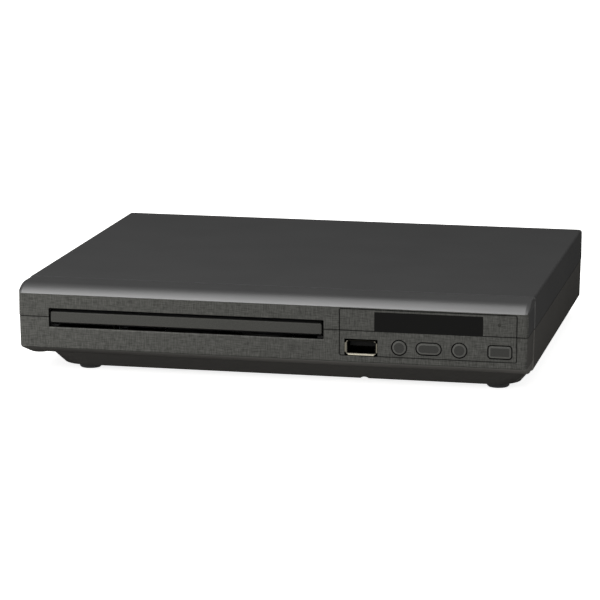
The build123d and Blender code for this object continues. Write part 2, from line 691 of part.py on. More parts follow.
with BuildPart() as case_screws:
    add(screw_set(CASE_SCREWS, case_boss_top, CASE_SEAT_BELOW_SEAM + THREAD_LEN, head_down=True))
save(case_screws, "case_screws")

# Loader frame: floor, walls, tray ledges, deck bay and motor pod
tray_left = TRAY_X - TRAY_W / 2
tray_right = TRAY_X + TRAY_W / 2
ear_spots = [(TRAY_X + side * (FRAME_OUT + 2.0), SPINDLE_Y + offset)
             for side in (-1, 1) for offset in (-BRIDGE_D / 2 + 5, BRIDGE_D / 2 - 5)]
with BuildPart() as loader_frame:
    add(span_block(TRAY_X - FRAME_OUT, TRAY_X + FRAME_OUT, FRAME_FLOOR_FRONT, FRAME_BACK,
                   Z_FRAME, Z_FRAME_FLOOR))
    add(upright(EAR_R, Z_TRAY - 4.6, Z_FRAME_TOP, ear_spots))
    for side in (-1, 1):
        inner = TRAY_X + side * FRAME_IN
        outer = TRAY_X + side * FRAME_OUT
        ledge = TRAY_X + side * (TRAY_W / 2 - LEDGE_IN)
        low, high = sorted((inner, outer))
        add(span_block(low, high, FRAME_FLOOR_FRONT, FRAME_BACK, Z_FRAME, Z_FRAME_TOP))
        add(span_block(low, high, FRAME_FRONT, FRAME_FLOOR_FRONT + 0.5, Z_FACE_LOW + WALL + 1,
                       Z_FRAME_TOP))
        low, high = sorted((ledge, inner))
        add(span_block(low, high, FRAME_FRONT, FRAME_BACK, Z_TRAY - GAP - LEDGE_T, Z_TRAY - GAP))
        tab = TRAY_X + side * (TRAY_W / 2 - TAB_OVER)
        low, high = sorted((tab, inner))
        for y in (FRAME_FRONT, SPINDLE_Y - BRIDGE_D / 2 - TAB_LEN, SPINDLE_Y + BRIDGE_D / 2,
                  FRAME_BACK - TAB_LEN):
            add(span_block(low, high, y, y + TAB_LEN, Z_TRAY_TOP + GAP, Z_FRAME_TOP))
        low, high = sorted((TRAY_X + side * RIB_IN, TRAY_X + side * (RIB_IN + RIB_T)))
        add(span_block(low, high, DECK_BAY_FRONT, DECK_BAY_BACK, RIB_LOW, Z_BELOW_TRAY))
    add(span_block(TRAY_X - FRAME_OUT, TRAY_X + FRAME_OUT, FRAME_BACK - FRAME_WALL, FRAME_BACK,
                   Z_FRAME, Z_BELOW_TRAY))
    add(span_block(TRAY_X - RIB_IN, TRAY_X + RIB_IN, DECK_BAY_FRONT, DECK_BAY_BACK,
                   Z_FRAME - 1, Z_FRAME_FLOOR + 1), mode=Mode.SUBTRACT)
    for side in (-1, 1):
        low, high = sorted((TRAY_X + side * (CAM_IN - GAP), TRAY_X + side * RIB_IN))
        add(span_block(low, high, PIN_FRONT_Y - CAM_END - CAM_TRAVEL - 1, DECK_BAY_BACK,
                       Z_FRAME - 1, Z_FRAME_FLOOR + 1), mode=Mode.SUBTRACT)
        low, high = sorted((TRAY_X + side * (RIB_IN - 1), TRAY_X + side * (RIB_IN + RIB_T + 0.5)))
        for y in (PIN_FRONT_Y, PIN_BACK_Y):
            add(span_block(low, high, y - PIN_R - SLIDE_FIT, y + PIN_R + SLIDE_FIT,
                           PIN_Z - PIN_R - GAP, Z_BELOW_TRAY + 1), mode=Mode.SUBTRACT)
    pod_half = MOTOR_R + POD_WALL
    add(span_block(MOTOR_X - pod_half, MOTOR_X + pod_half, MOTOR_Y - pod_half, DECK_BAY_FRONT,
                   Z_FRAME, Z_POD_TOP))
    add(upright(MOTOR_R + RUN_FIT, Z_FRAME - 1, Z_LOAD_MOTOR_TOP, [(MOTOR_X, MOTOR_Y)]),
        mode=Mode.SUBTRACT)
    add(upright(MOTOR_PULLEY_R - 0.5, Z_FRAME, Z_POD_TOP + 1, [(MOTOR_X, MOTOR_Y)]),
        mode=Mode.SUBTRACT)
    posts = [(DRIVE_X, DRIVE_Y), (PULLEY_X, DRIVE_Y)]
    add(upright(POST_FOOT_R, Z_FRAME_FLOOR - 0.5, Z_TRAIN - GAP, posts))
    add(upright(POST_R, Z_FRAME_FLOOR - 0.5, Z_PULLEY_TOP, posts[1:]))
    add(upright(POST_R, Z_FRAME_FLOOR - 0.5, Z_PINION_TOP, posts[:1]))
    add(upright(SCREW_HOLE_R, Z_FRAME - 1, Z_FRAME_FLOOR + 1, LOADER_SCREWS), mode=Mode.SUBTRACT)
    add(upright(PILOT_R, Z_FRAME_TOP - THREAD_LEN, Z_FRAME_TOP + 1, ear_spots), mode=Mode.SUBTRACT)
save(loader_frame, "loader_frame")

with BuildPart() as loader_screws:
    add(screw_set(LOADER_SCREWS, Z_FRAME_FLOOR, THREAD_LEN + 1.0))
save(loader_screws, "loader_screws")

# Clamp bridge, a pressed strip across the frame, and its screws
with BuildPart() as clamp_bridge:
    add(span_block(TRAY_X - FRAME_OUT - BRIDGE_EAR, TRAY_X + FRAME_OUT + BRIDGE_EAR,
                   SPINDLE_Y - BRIDGE_D / 2, SPINDLE_Y + BRIDGE_D / 2, Z_FRAME_TOP, Z_BRIDGE_TOP))
    for offset in (-BRIDGE_D / 2 + 2, BRIDGE_D / 2 - 2):
        add(span_block(TRAY_X - FRAME_IN + 4, TRAY_X + FRAME_IN - 4, SPINDLE_Y + offset - 0.6,
                       SPINDLE_Y + offset + 0.6, Z_BRIDGE_TOP - 0.2, Z_BRIDGE_TOP + 2.0))
    fillet(clamp_bridge.edges().filter_by(Axis.Z).group_by(Axis.X)[0], 3.0)
    fillet(clamp_bridge.edges().filter_by(Axis.Z).group_by(Axis.X)[-1], 3.0)
    add(upright(BRIDGE_HOLE_R, Z_FRAME_TOP - 1, Z_BRIDGE_TOP + 1, [(TRAY_X, SPINDLE_Y)]),
        mode=Mode.SUBTRACT)
    add(upright(SCREW_HOLE_R, Z_FRAME_TOP - 1, Z_BRIDGE_TOP + 1, ear_spots), mode=Mode.SUBTRACT)
save(clamp_bridge, "clamp_bridge")

with BuildPart() as bridge_screws:
    add(screw_set(ear_spots, Z_BRIDGE_TOP, THREAD_LEN))
save(bridge_screws, "bridge_screws")

# Clamp puck that holds a disc on the turntable
with BuildPart() as clamp_puck:
    with BuildSketch(Plane.XY.offset(Z_PUCK)):
        with Locations((TRAY_X, SPINDLE_Y)):
            Circle(PUCK_R)
    extrude(amount=Z_PUCK_FLANGE - Z_PUCK + 0.2)
    with BuildSketch(Plane.XY.offset(Z_PUCK_FLANGE)):
        with Locations((TRAY_X, SPINDLE_Y)):
            Circle(PUCK_FLANGE_R)
    extrude(amount=PUCK_FLANGE_T)
    chamfer(clamp_puck.edges().group_by(Axis.Z)[-1], 0.4)
    add(upright(PUCK_RECESS_R, Z_PUCK - 1, Z_PUCK_FLANGE, [(TRAY_X, SPINDLE_Y)]), mode=Mode.SUBTRACT)
save(clamp_puck, "clamp_puck")

# Loading motor under the pod, with its shaft and pulley
with BuildPart() as loading_motor:
    add(upright(MOTOR_R, Z_LOAD_MOTOR, Z_LOAD_MOTOR_TOP, [(MOTOR_X, MOTOR_Y)]))
    fillet(loading_motor.edges().group_by(Axis.Z)[0], 1.0)
    add(upright(MOTOR_PULLEY_R - 1.0, Z_LOAD_MOTOR_TOP - 0.5, Z_POD_TOP, [(MOTOR_X, MOTOR_Y)]))
    add(upright(MOTOR_SHAFT_R + RUN_FIT, Z_LOAD_MOTOR + 3, Z_POD_TOP + 1, [(MOTOR_X, MOTOR_Y)]),
        mode=Mode.SUBTRACT)
save(loading_motor, "loading_motor")

with BuildPart() as motor_shaft:
    add(upright(MOTOR_SHAFT_R, Z_LOAD_MOTOR + 4, Z_PULLEY_TOP, [(MOTOR_X, MOTOR_Y)]))
save(motor_shaft, "motor_shaft")


def pulley(radius, spot):
    """Flat-bottomed belt pulley with two thin flanges, as a private solid."""
    with BuildPart(mode=Mode.PRIVATE) as wheel:
        add(upright(radius, Z_PULLEY, Z_PULLEY_TOP, [spot]))
        add(upright(radius + PULLEY_RIM, Z_PULLEY, Z_PULLEY + PULLEY_FLANGE, [spot]))
        add(upright(radius + PULLEY_RIM, Z_PULLEY_TOP - PULLEY_FLANGE, Z_PULLEY_TOP, [spot]))
    return wheel.part


with BuildPart() as motor_pulley:
    add(pulley(MOTOR_PULLEY_R, (MOTOR_X, MOTOR_Y)))
    add(upright(MOTOR_SHAFT_R, Z_PULLEY - 1, Z_PULLEY_TOP + 1, [(MOTOR_X, MOTOR_Y)]),
        mode=Mode.SUBTRACT)
save(motor_pulley, "motor_pulley")

with BuildPart() as pulley_gear:
    with BuildSketch(Plane.XY.offset(Z_TRAIN)):
        with Locations((PULLEY_X, DRIVE_Y)):
            Polygon(*gear_points(SMALL_TEETH, TRAIN_MODULE, TRAIN_THIN, 180 / SMALL_TEETH), align=None)
    extrude(amount=TRAIN_FACE)
    add(upright(NECK_R, Z_TRAIN, Z_PULLEY + 0.2, [(PULLEY_X, DRIVE_Y)]))
    add(pulley(PULLEY_R, (PULLEY_X, DRIVE_Y)))
    add(upright(POST_R + RUN_FIT, Z_TRAIN - 1, Z_PULLEY_TOP + 1, [(PULLEY_X, DRIVE_Y)]),
        mode=Mode.SUBTRACT)
save(pulley_gear, "pulley_gear")

with BuildPart() as drive_gear:
    with BuildSketch(Plane.XY.offset(Z_TRAIN)):
        with Locations((DRIVE_X, DRIVE_Y)):
            Polygon(*gear_points(BIG_TEETH, TRAIN_MODULE, TRAIN_THIN), align=None)
    extrude(amount=TRAIN_FACE)
    add(upright(NECK_R, Z_TRAIN, Z_PINION + 0.2, [(DRIVE_X, DRIVE_Y)]))
    with BuildSketch(Plane.XY.offset(Z_PINION)):
        with Locations((DRIVE_X, DRIVE_Y)):
            Polygon(*gear_points(PINION_TEETH, RACK_MODULE, RACK_THIN), align=None)
    extrude(amount=Z_PINION_TOP - Z_PINION)
    add(upright(POST_R + RUN_FIT, Z_TRAIN - 1, Z_PINION_TOP + 1, [(DRIVE_X, DRIVE_Y)]),
        mode=Mode.SUBTRACT)
save(drive_gear, "drive_gear")

# Belt round the two pulleys, just clear of both grooves
with BuildPart() as drive_belt:
    belt_low = Z_PULLEY + PULLEY_FLANGE + GAP
    belt_high = Z_PULLEY_TOP - PULLEY_FLANGE - GAP
    for extra, mode in ((GAP + BELT_W, Mode.ADD), (GAP, Mode.SUBTRACT)):
        with BuildSketch(Plane.XY.offset(belt_low)):
            with Locations((PULLEY_X, DRIVE_Y)):
                Circle(PULLEY_R + extra)
            with Locations((MOTOR_X, MOTOR_Y)):
                Circle(MOTOR_PULLEY_R + extra)
            make_hull()
        extrude(amount=belt_high - belt_low, mode=mode)
save(drive_belt, "drive_belt")

# Disc tray with its rack, and the door on its front
opening_x = TRAY_X + (WINDOW_RIGHT + 0.8 - WINDOW_LEFT - 0.8) / 2
with BuildPart() as disc_tray:
    with BuildSketch(Plane.XY.offset(Z_TRAY)):
        with Locations((TRAY_X, (TRAY_FRONT + TRAY_BACK) / 2)):
            RectangleRounded(TRAY_W, TRAY_LEN, 1.5)
    extrude(amount=TRAY_H)
    chamfer(disc_tray.faces().sort_by(Axis.Y)[0].edges().filter_by(Axis.X), 1.0)
    add(upright(DISC_R + RECESS_GAP, Z_RECESS, Z_TRAY_TOP + 1, [(TRAY_X, SPINDLE_Y)]),
        mode=Mode.SUBTRACT)
    add(upright(SMALL_DISC_R + RECESS_GAP, Z_RECESS - SMALL_RECESS_DEEP, Z_TRAY_TOP + 1,
                [(TRAY_X, SPINDLE_Y)]), mode=Mode.SUBTRACT)
    # Hollow underside inside the skirt, open at the back where the pinion leaves the rack
    add(span_block(tray_left + TRAY_SKIRT + LEDGE_IN, tray_right - TRAY_SKIRT,
                   TRAY_FRONT + TRAY_SKIRT, TRAY_BACK - TRAY_SKIRT, Z_TRAY - 1, Z_TRAY_UNDER),
        mode=Mode.SUBTRACT)
    add(span_block(RACK_LINE_X - TRAY_NOTCH_W, RACK_LINE_X, TRAY_BACK - TRAY_SKIRT - 1,
                   TRAY_BACK + 1, Z_TRAY - 1, Z_TRAY_UNDER), mode=Mode.SUBTRACT)
    # Rack: a rail on the right skirt with straight-sided teeth
    rack_root = RACK_LINE_X + TOOTH_IN * RACK_MODULE
    add(span_block(rack_root, tray_right - TRAY_SKIRT + 0.2, TRAY_FRONT + TRAY_SKIRT - 0.2,
                   TRAY_BACK - TRAY_SKIRT, Z_TRAY, Z_TRAY_UNDER + 0.2))
    half = RACK_PITCH / 4 - RACK_THIN / 2
    slope = tan(radians(20))
    tooth_count = int((TRAY_TRAVEL + 2 * PINION_R) / RACK_PITCH)
    with BuildSketch(Plane.XY.offset(Z_TRAY)):
        for tooth in range(tooth_count):
            y = DRIVE_Y + (tooth - 1.5) * RACK_PITCH
            tip = half - TOOTH_OUT * RACK_MODULE * slope
            root = half + TOOTH_IN * RACK_MODULE * slope
            tip_x = RACK_LINE_X - TOOTH_OUT * RACK_MODULE
            Polygon((rack_root + 0.1, y - root), (tip_x, y - tip), (tip_x, y + tip),
                    (rack_root + 0.1, y + root), align=None)
    extrude(amount=Z_TRAY_UNDER - Z_TRAY + 0.2)
    # Opening for the turntable and the pickup
    with BuildSketch(Plane.XY.offset(Z_TRAY - 1)):
        with Locations((opening_x, (OPENING_FRONT + OPENING_BACK) / 2)):
            RectangleRounded(WINDOW_LEFT + WINDOW_RIGHT + 1.6, OPENING_BACK - OPENING_FRONT, OPENING_R)
    extrude(amount=TRAY_H + 2, mode=Mode.SUBTRACT)
    # Finger dips at the front corners of the recess
    for x in (TRAY_X - 44.0, TRAY_X + 44.0):
        add(upright(9.0, Z_RECESS, Z_TRAY_TOP + 1, [(x, TRAY_FRONT + 14.0)]), mode=Mode.SUBTRACT)
save(disc_tray, "disc_tray")

with BuildPart() as tray_door:
    add(front_rect(DOOR_W, DOOR_H, DOOR_CORNER_R, TRAY_X, Z_DOOR + DOOR_H / 2,
                   FRONT + DOOR_SET, TRAY_FRONT))
    chamfer(tray_door.faces().sort_by(Axis.Y)[0].edges(), DOOR_EDGE)
save(tray_door, "tray_door")

# Deck plate with its tabs, windows and pin bosses
with BuildPart() as deck_plate:
    add(span_block(TRAY_X - DECK_HALF_W, TRAY_X + DECK_HALF_W, DECK_FRONT, DECK_BACK,
                   Z_DECK, Z_DECK_TOP))
    fillet(deck_plate.edges().filter_by(Axis.Z), 3.0)
    add(span_block(TRAY_X - WINDOW_LEFT, TRAY_X + WINDOW_RIGHT, WINDOW_FRONT, WINDOW_BACK,
                   Z_DECK - 1, Z_DECK_TOP + 1), mode=Mode.SUBTRACT)
    motor_left = TRAY_X + SCREW_X - SLED_MOTOR_R - 0.8
    motor_right = TRAY_X + SCREW_X + SLED_MOTOR_R + 0.8
    motor_front = SLED_MOTOR_BACK - SLED_MOTOR_LEN
    add(span_block(motor_left, motor_right, motor_front - 0.8, WINDOW_FRONT + 1,
                   Z_DECK - 1, Z_DECK_TOP + 1), mode=Mode.SUBTRACT)
    for side in (-1, 1):
        low, high = sorted((TRAY_X + side * (DECK_HALF_W - 4), TRAY_X + side * DECK_HALF_W))
        for y in (PIN_FRONT_Y, PIN_BACK_Y):
            add(span_block(low, high, y - 2.5, y + 2.5, PIN_Z - PIN_R - 1, PIN_Z + PIN_R + 1))
    holders = [(TRAY_X - ROD_X, WINDOW_FRONT - HOLDER_T), (TRAY_X + ROD_X, WINDOW_FRONT - HOLDER_T),
               (TRAY_X - ROD_X, WINDOW_BACK), (TRAY_X + ROD_X, WINDOW_BACK)]
    for x, y in holders:
        add(span_block(x - 3.0, x + 2.4, y, y + HOLDER_T, Z_DECK, ROD_Z + ROD_R + 1))
    screw_x = TRAY_X + SCREW_X
    add(span_block(screw_x - 3, screw_x + 3, WINDOW_BACK, WINDOW_BACK + HOLDER_T,
                   SCREW_Z - 3, SCREW_Z + 3))
    add(span_block(motor_left - 0.2, motor_right + 0.2, SLED_MOTOR_BACK, SLED_MOTOR_BACK + DECK_T,
                   SCREW_Z - SLED_MOTOR_R, SCREW_Z + SLED_MOTOR_R))
    for x in (TRAY_X - ROD_X, TRAY_X + ROD_X):
        add(front_round(ROD_R, x, ROD_Z, WINDOW_FRONT - HOLDER_T, WINDOW_BACK + HOLDER_T - 1),
            mode=Mode.SUBTRACT)
    add(front_round(SCREW_R + RUN_FIT, screw_x, SCREW_Z, SLED_MOTOR_BACK - 1,
                    WINDOW_BACK + HOLDER_T + 1), mode=Mode.SUBTRACT)
    for side in (-1, 1):
        low, high = sorted((TRAY_X + side * (DECK_HALF_W - 2), TRAY_X + side * (DECK_HALF_W + 1)))
        for y in (PIN_FRONT_Y, PIN_BACK_Y):
            with BuildSketch(Plane.YZ.offset(low)):
                with Locations((y, PIN_Z)):
                    Circle(PIN_R)
            extrude(amount=high - low, mode=Mode.SUBTRACT)
save(deck_plate, "deck_plate")

with BuildPart() as deck_pins:
    for side in (-1, 1):
        low, high = sorted((TRAY_X + side * (DECK_HALF_W - 2), TRAY_X + side * (RIB_IN + RIB_T - 0.2)))
        with BuildSketch(Plane.YZ.offset(low)):
            with Locations((PIN_FRONT_Y, PIN_Z), (PIN_BACK_Y, PIN_Z)):
                Circle(PIN_R)
        extrude(amount=high - low)
save(deck_pins, "deck_pins")

with BuildPart() as guide_rods:
    for x in (TRAY_X - ROD_X, TRAY_X + ROD_X):
        add(front_round(ROD_R, x, ROD_Z, WINDOW_FRONT - HOLDER_T, WINDOW_BACK + HOLDER_T - 1))
save(guide_rods, "guide_rods")

# Spindle motor, its shaft and the turntable
with BuildPart() as spindle_motor:
    add(upright(SPIN_MOTOR_R, Z_DECK_TOP, Z_MOTOR_TOP, [(TRAY_X, SPINDLE_Y)]))
    fillet(spindle_motor.edges().group_by(Axis.Z)[-1], 0.8)
    add(upright(SHAFT_R + RUN_FIT, Z_DECK_TOP + 0.6, Z_MOTOR_TOP + 1, [(TRAY_X, SPINDLE_Y)]),
        mode=Mode.SUBTRACT)
save(spindle_motor, "spindle_motor")

with BuildPart() as spindle_shaft:
    add(upright(SHAFT_R, Z_DECK_TOP + 0.9, Z_SEAT + HUB_H, [(TRAY_X, SPINDLE_Y)]))
save(spindle_shaft, "spindle_shaft")

with BuildPart() as turntable:
    add(upright(TURN_R, Z_SEAT - TURN_T, Z_SEAT, [(TRAY_X, SPINDLE_Y)]))
    with BuildSketch(Plane.XY.offset(Z_SEAT)):
        with Locations((TRAY_X, SPINDLE_Y)):
            Circle(HUB_R)
    extrude(amount=HUB_H)
    chamfer(turntable.edges().group_by(Axis.Z)[-1], 1.0)
    add(upright(SHAFT_R, Z_SEAT - TURN_T - 1, Z_SEAT + HUB_H + 1, [(TRAY_X, SPINDLE_Y)]),
        mode=Mode.SUBTRACT)
save(turntable, "turntable")

# Pickup sled on its two rods, with the nut arm, and the lens unit on top
z_sled_low = ROD_Z - SLED_LOW - 1.5
z_sled_high = ROD_Z + SLED_HIGH - 1.0
sled_back = SLED_FRONT + SLED_LEN
with BuildPart() as pickup_sled:
    add(span_block(TRAY_X - SLED_HALF_W, TRAY_X + SLED_HALF_W, SLED_FRONT, sled_back,
                   ROD_Z - ROD_R - 1.2, ROD_Z + ROD_R + 1.2))
    add(span_block(TRAY_X - 13, TRAY_X + 13, SLED_FRONT, sled_back, z_sled_low, z_sled_high))
    fillet(pickup_sled.edges().filter_by(Axis.Z), 1.2)
    add(span_block(TRAY_X + 12, TRAY_X + SCREW_X + 3.2, SLED_FRONT + 12, SLED_FRONT + 20,
                   SCREW_Z - SCREW_R - 1.4, SCREW_Z + SCREW_R + 1.4))
    for x in (TRAY_X - ROD_X, TRAY_X + ROD_X):
        add(front_round(ROD_R + RUN_FIT, x, ROD_Z, SLED_FRONT - 1, sled_back + 1), mode=Mode.SUBTRACT)
    add(front_round(SCREW_R + RUN_FIT, TRAY_X + SCREW_X, SCREW_Z, SLED_FRONT, sled_back),
        mode=Mode.SUBTRACT)
save(pickup_sled, "pickup_sled")

with BuildPart() as pickup_lens:
    add(span_block(TRAY_X - 9, TRAY_X + 9, SLED_FRONT + 1.5, SLED_FRONT + LENS_FROM_FRONT + 8,
                   z_sled_high, z_sled_high + 0.8))
    fillet(pickup_lens.edges().filter_by(Axis.Z), 2.0)
    with BuildSketch(Plane.XY.offset(z_sled_high + 0.8)):
        with Locations((TRAY_X, SLED_FRONT + LENS_FROM_FRONT)):
            Circle(LENS_R)
    extrude(amount=0.6)
    fillet(pickup_lens.edges().group_by(Axis.Z)[-1], 0.5)
save(pickup_lens, "pickup_lens")

with BuildPart() as sled_motor:
    add(front_round(SLED_MOTOR_R, screw_x, SCREW_Z, motor_front, SLED_MOTOR_BACK))
    fillet(sled_motor.edges().group_by(Axis.Y)[0], 0.8)
    add(front_round(SCREW_R + RUN_FIT, screw_x, SCREW_Z, motor_front + 2, SLED_MOTOR_BACK + 1),
        mode=Mode.SUBTRACT)
save(sled_motor, "sled_motor")

with BuildPart() as lead_screw:
    add(front_round(SCREW_R, screw_x, SCREW_Z, motor_front + 2.4, WINDOW_BACK + HOLDER_T - 0.4))
save(lead_screw, "lead_screw")

# Cam slide: two side plates with sloping slots, joined by a bar under the deck
cam_front = PIN_FRONT_Y - CAM_END
cam_back = PIN_BACK_Y + CAM_TRAVEL + CAM_END
with BuildPart() as cam_slide:
    add(span_block(TRAY_X - CAM_OUT, TRAY_X + CAM_OUT, cam_front, cam_front + CAM_BAR_D,
                   Z_CAM, Z_CAM + CAM_BAR_H))
    for side in (-1, 1):
        low, high = sorted((TRAY_X + side * CAM_IN, TRAY_X + side * CAM_OUT))
        add(span_block(low, high, cam_front, cam_back, Z_CAM, Z_BELOW_TRAY))
        slot_angle = degrees(atan(1 / CAM_RATIO))
        slot_run = (CAM_TRAVEL ** 2 + DECK_LIFT ** 2) ** 0.5
        slot_w = 2 * (PIN_R + GAP)
        for y in (PIN_FRONT_Y, PIN_BACK_Y):
            with BuildSketch(Plane.YZ.offset(low - 1)):
                with Locations((y + CAM_TRAVEL / 2, PIN_Z + DECK_LIFT / 2)):
                    SlotCenterToCenter(slot_run, slot_w, rotation=slot_angle)
            extrude(amount=high - low + 2, mode=Mode.SUBTRACT)
save(cam_slide, "cam_slide")

# Display window and the lamp module behind it
with BuildPart() as display_window:
    add(span_block(DISPLAY_LEFT + DISPLAY_FIT, DISPLAY_RIGHT - DISPLAY_FIT, FRONT + 0.2,
                   FRONT + 0.2 + DISPLAY_T, Z_SEAM + DISPLAY_FIT, Z_SEAM + DISPLAY_H - DISPLAY_FIT))
save(display_window, "display_window")

with BuildPart() as display_module:
    add(span_block(DISPLAY_LEFT + 2, DISPLAY_RIGHT - 2, FRONT + WALL + GAP, FRONT_BOARD_Y,
                   Z_SEAM + 0.6, Z_SEAM + DISPLAY_H))
    fillet(display_module.edges().filter_by(Axis.Y), 0.8)
save(display_module, "display_module")

# Front board, with a window for the port, and its switches
with BuildPart() as front_board:
    add(span_block(MAIN_LEFT, MAIN_RIGHT - 0.6, FRONT_BOARD_Y, FRONT_BOARD_Y + BOARD_T,
                   Z_MAIN_TOP, FRONT_BOARD_TOP))
    add(span_block(USB_X - USB_W / 2 - 1, USB_X + USB_W / 2 + 1, FRONT_BOARD_Y - 1,
                   FRONT_BOARD_Y + BOARD_T + 1, Z_MAIN_TOP - 1, USB_Z + USB_H / 2 + 0.5),
        mode=Mode.SUBTRACT)
save(front_board, "front_board")

button_xs = [ROUND_LEFT_X, OVAL_X, ROUND_RIGHT_X, SQUARE_X]
with BuildPart() as tact_switches:
    for x in button_xs:
        add(span_block(x - SWITCH_W / 2, x + SWITCH_W / 2, FRONT_BOARD_Y - SWITCH_D, FRONT_BOARD_Y,
                       BUTTON_Z - SWITCH_W / 2 + 0.6, BUTTON_Z + SWITCH_W / 2))
save(tact_switches, "tact_switches")

with BuildPart() as ir_receiver:
    add(front_round(IR_R - RUN_FIT, IR_X, IR_Z, FRONT + 0.2, FRONT + WALL + 1))
    add(front_round(IR_BODY_R, IR_X, IR_Z, FRONT + WALL + GAP, FRONT_BOARD_Y))
save(ir_receiver, "ir_receiver")

# Buttons: a bevelled cap, a flange behind the wall and a stem to the switch
cap_front = FRONT
cap_back = cap_front + BUTTON_T
flange_y = FRONT + SHELL_STEP + WALL + 0.35
stem_end = FRONT_BOARD_Y - SWITCH_D - BUTTON_TRAVEL - 0.1


def finish_button(builder):
    """Broad shallow bevel round the cap's front face."""
    face = builder.faces().sort_by(Axis.Y)[0]
    chamfer(face.edges(), BUTTON_RIM, BUTTON_DROP, reference=face)


for name, x in (("round_button_left", ROUND_LEFT_X), ("round_button_right", ROUND_RIGHT_X)):
    with BuildPart() as round_button:
        add(front_round(ROUND_R, x, BUTTON_Z, cap_front, cap_back))
        finish_button(round_button)
        add(front_round(ROUND_R + BUTTON_GAP + FLANGE_OUT, x, BUTTON_Z, flange_y, flange_y + FLANGE_T))
        add(front_round(STEM_R, x, BUTTON_Z, cap_front + 1, stem_end))
    save(round_button, name)

with BuildPart() as oval_button:
    add(front_rect(OVAL_W, OVAL_H, OVAL_H / 2 - 0.01, OVAL_X, BUTTON_Z, cap_front, cap_back))
    finish_button(oval_button)
    add(front_rect(OVAL_W + 2, OVAL_H + 2, OVAL_H / 2, OVAL_X, BUTTON_Z, flange_y, flange_y + FLANGE_T))
    add(front_round(STEM_R, OVAL_X, BUTTON_Z, cap_front + 1, stem_end))
save(oval_button, "oval_button")

with BuildPart() as square_button:
    add(front_rect(SQUARE_W, SQUARE_H, SQUARE_R, SQUARE_X, BUTTON_Z, cap_front, cap_back))
    finish_button(square_button)
    add(front_rect(SQUARE_W + 2, SQUARE_H + 2, SQUARE_R + 1, SQUARE_X, BUTTON_Z,
                   flange_y, flange_y + FLANGE_T))
    add(front_round(STEM_R, SQUARE_X, BUTTON_Z, cap_front + 1, stem_end))
save(square_button, "square_button")

# USB socket: a folded metal shell with flared lips at its sides and below, and its contact block
usb_front = FRONT + SHELL_STEP + 0.1
usb_back = usb_front + USB_LEN
usb_lip_back = usb_front + USB_LIP_T
usb_in_w = USB_W - 2 * USB_SKIN
usb_in_h = USB_H - 2 * USB_SKIN
with BuildPart() as usb_shell:
    add(front_rect(USB_W, USB_H, 0.8, USB_X, USB_Z, usb_front, usb_back))
    add(span_block(USB_X - USB_W / 2 + USB_LIP_END, USB_X + USB_W / 2 - USB_LIP_END, usb_front,
                   usb_lip_back, USB_Z - USB_LIP_H / 2, USB_Z))
    add(front_rect(USB_LIP_W, USB_H - 2 * USB_LIP_END, 0, USB_X, USB_Z, usb_front, usb_lip_back))
    add(front_rect(usb_in_w, usb_in_h, 0.5, USB_X, USB_Z, usb_front - 1, usb_back + 1),
        mode=Mode.SUBTRACT)
    # Mouth flared outwards at the sides and below
    with BuildSketch(Plane.XZ.offset(-usb_front)):
        with Locations((USB_X, USB_Z - USB_FLARE / 2)):
            Rectangle(usb_in_w + 2 * USB_FLARE, usb_in_h + USB_FLARE)
    with BuildSketch(Plane.XZ.offset(-(usb_front + USB_FLARE))):
        with Locations((USB_X, USB_Z)):
            Rectangle(usb_in_w, usb_in_h)
    loft(mode=Mode.SUBTRACT)
    add(span_block(USB_X - USB_W / 2 + 0.8, USB_X + USB_W / 2 - 0.8, usb_front - 1,
                   usb_front + USB_TOP_BACK, USB_Z, USB_Z + USB_H), mode=Mode.SUBTRACT)
save(usb_shell, "usb_shell")

with BuildPart() as usb_tongue:
    add(front_rect(usb_in_w, usb_in_h, 0.5, USB_X, USB_Z, usb_back - USB_BLOCK_D, usb_back))
    add(front_rect(USB_TONGUE_W, USB_TONGUE_T, 0, USB_X, USB_Z + 0.9,
                   usb_back - USB_BLOCK_D - USB_TONGUE_LEN, usb_back - 1))
save(usb_tongue, "usb_tongue")

# Main board with holes over the bosses, and its screws, chips and capacitors
with BuildPart() as main_board:
    add(span_block(MAIN_LEFT, MAIN_RIGHT, MAIN_FRONT, MAIN_BACK, Z_MAIN, Z_MAIN_TOP))
    add(upright(SCREW_HOLE_R, Z_MAIN - 1, Z_MAIN_TOP + 1, main_spots), mode=Mode.SUBTRACT)
    add(upright(CASE_BOSS_R + 0.6, Z_MAIN - 1, Z_MAIN_TOP + 1, CASE_SCREWS[3:]), mode=Mode.SUBTRACT)
save(main_board, "main_board")

with BuildPart() as board_screws:
    add(screw_set(main_spots, Z_MAIN_TOP, THREAD_LEN + BOARD_T - 1))
    add(screw_set(power_spots, Z_POWER + BOARD_T, THREAD_LEN + BOARD_T - 1))
save(board_screws, "board_screws")

with BuildPart() as board_chips:
    for x, y, width, depth, height in CHIPS:
        x += MAIN_MID_X
        y += MAIN_MID_Y
        add(span_block(x - width / 2, x + width / 2, y - depth / 2, y + depth / 2,
                       Z_MAIN_TOP, Z_MAIN_TOP + height))
save(board_chips, "board_chips")

with BuildPart() as board_capacitors:
    small_spots = [(MAIN_MID_X + x, MAIN_MID_Y + y) for x, y in SMALL_CAPS]
    add(upright(SMALL_CAP_R, Z_MAIN_TOP, Z_MAIN_TOP + SMALL_CAP_H, small_spots))
    large_spots = [(POWER_RIGHT - x, (POWER_FRONT + POWER_BACK) / 2) for x in LARGE_CAPS]
    add(upright(LARGE_CAP_R, Z_POWER + BOARD_T, Z_POWER + BOARD_T + LARGE_CAP_H, large_spots))
    fillet(board_capacitors.edges().group_by(Axis.Z)[-1], 0.6)
save(board_capacitors, "board_capacitors")

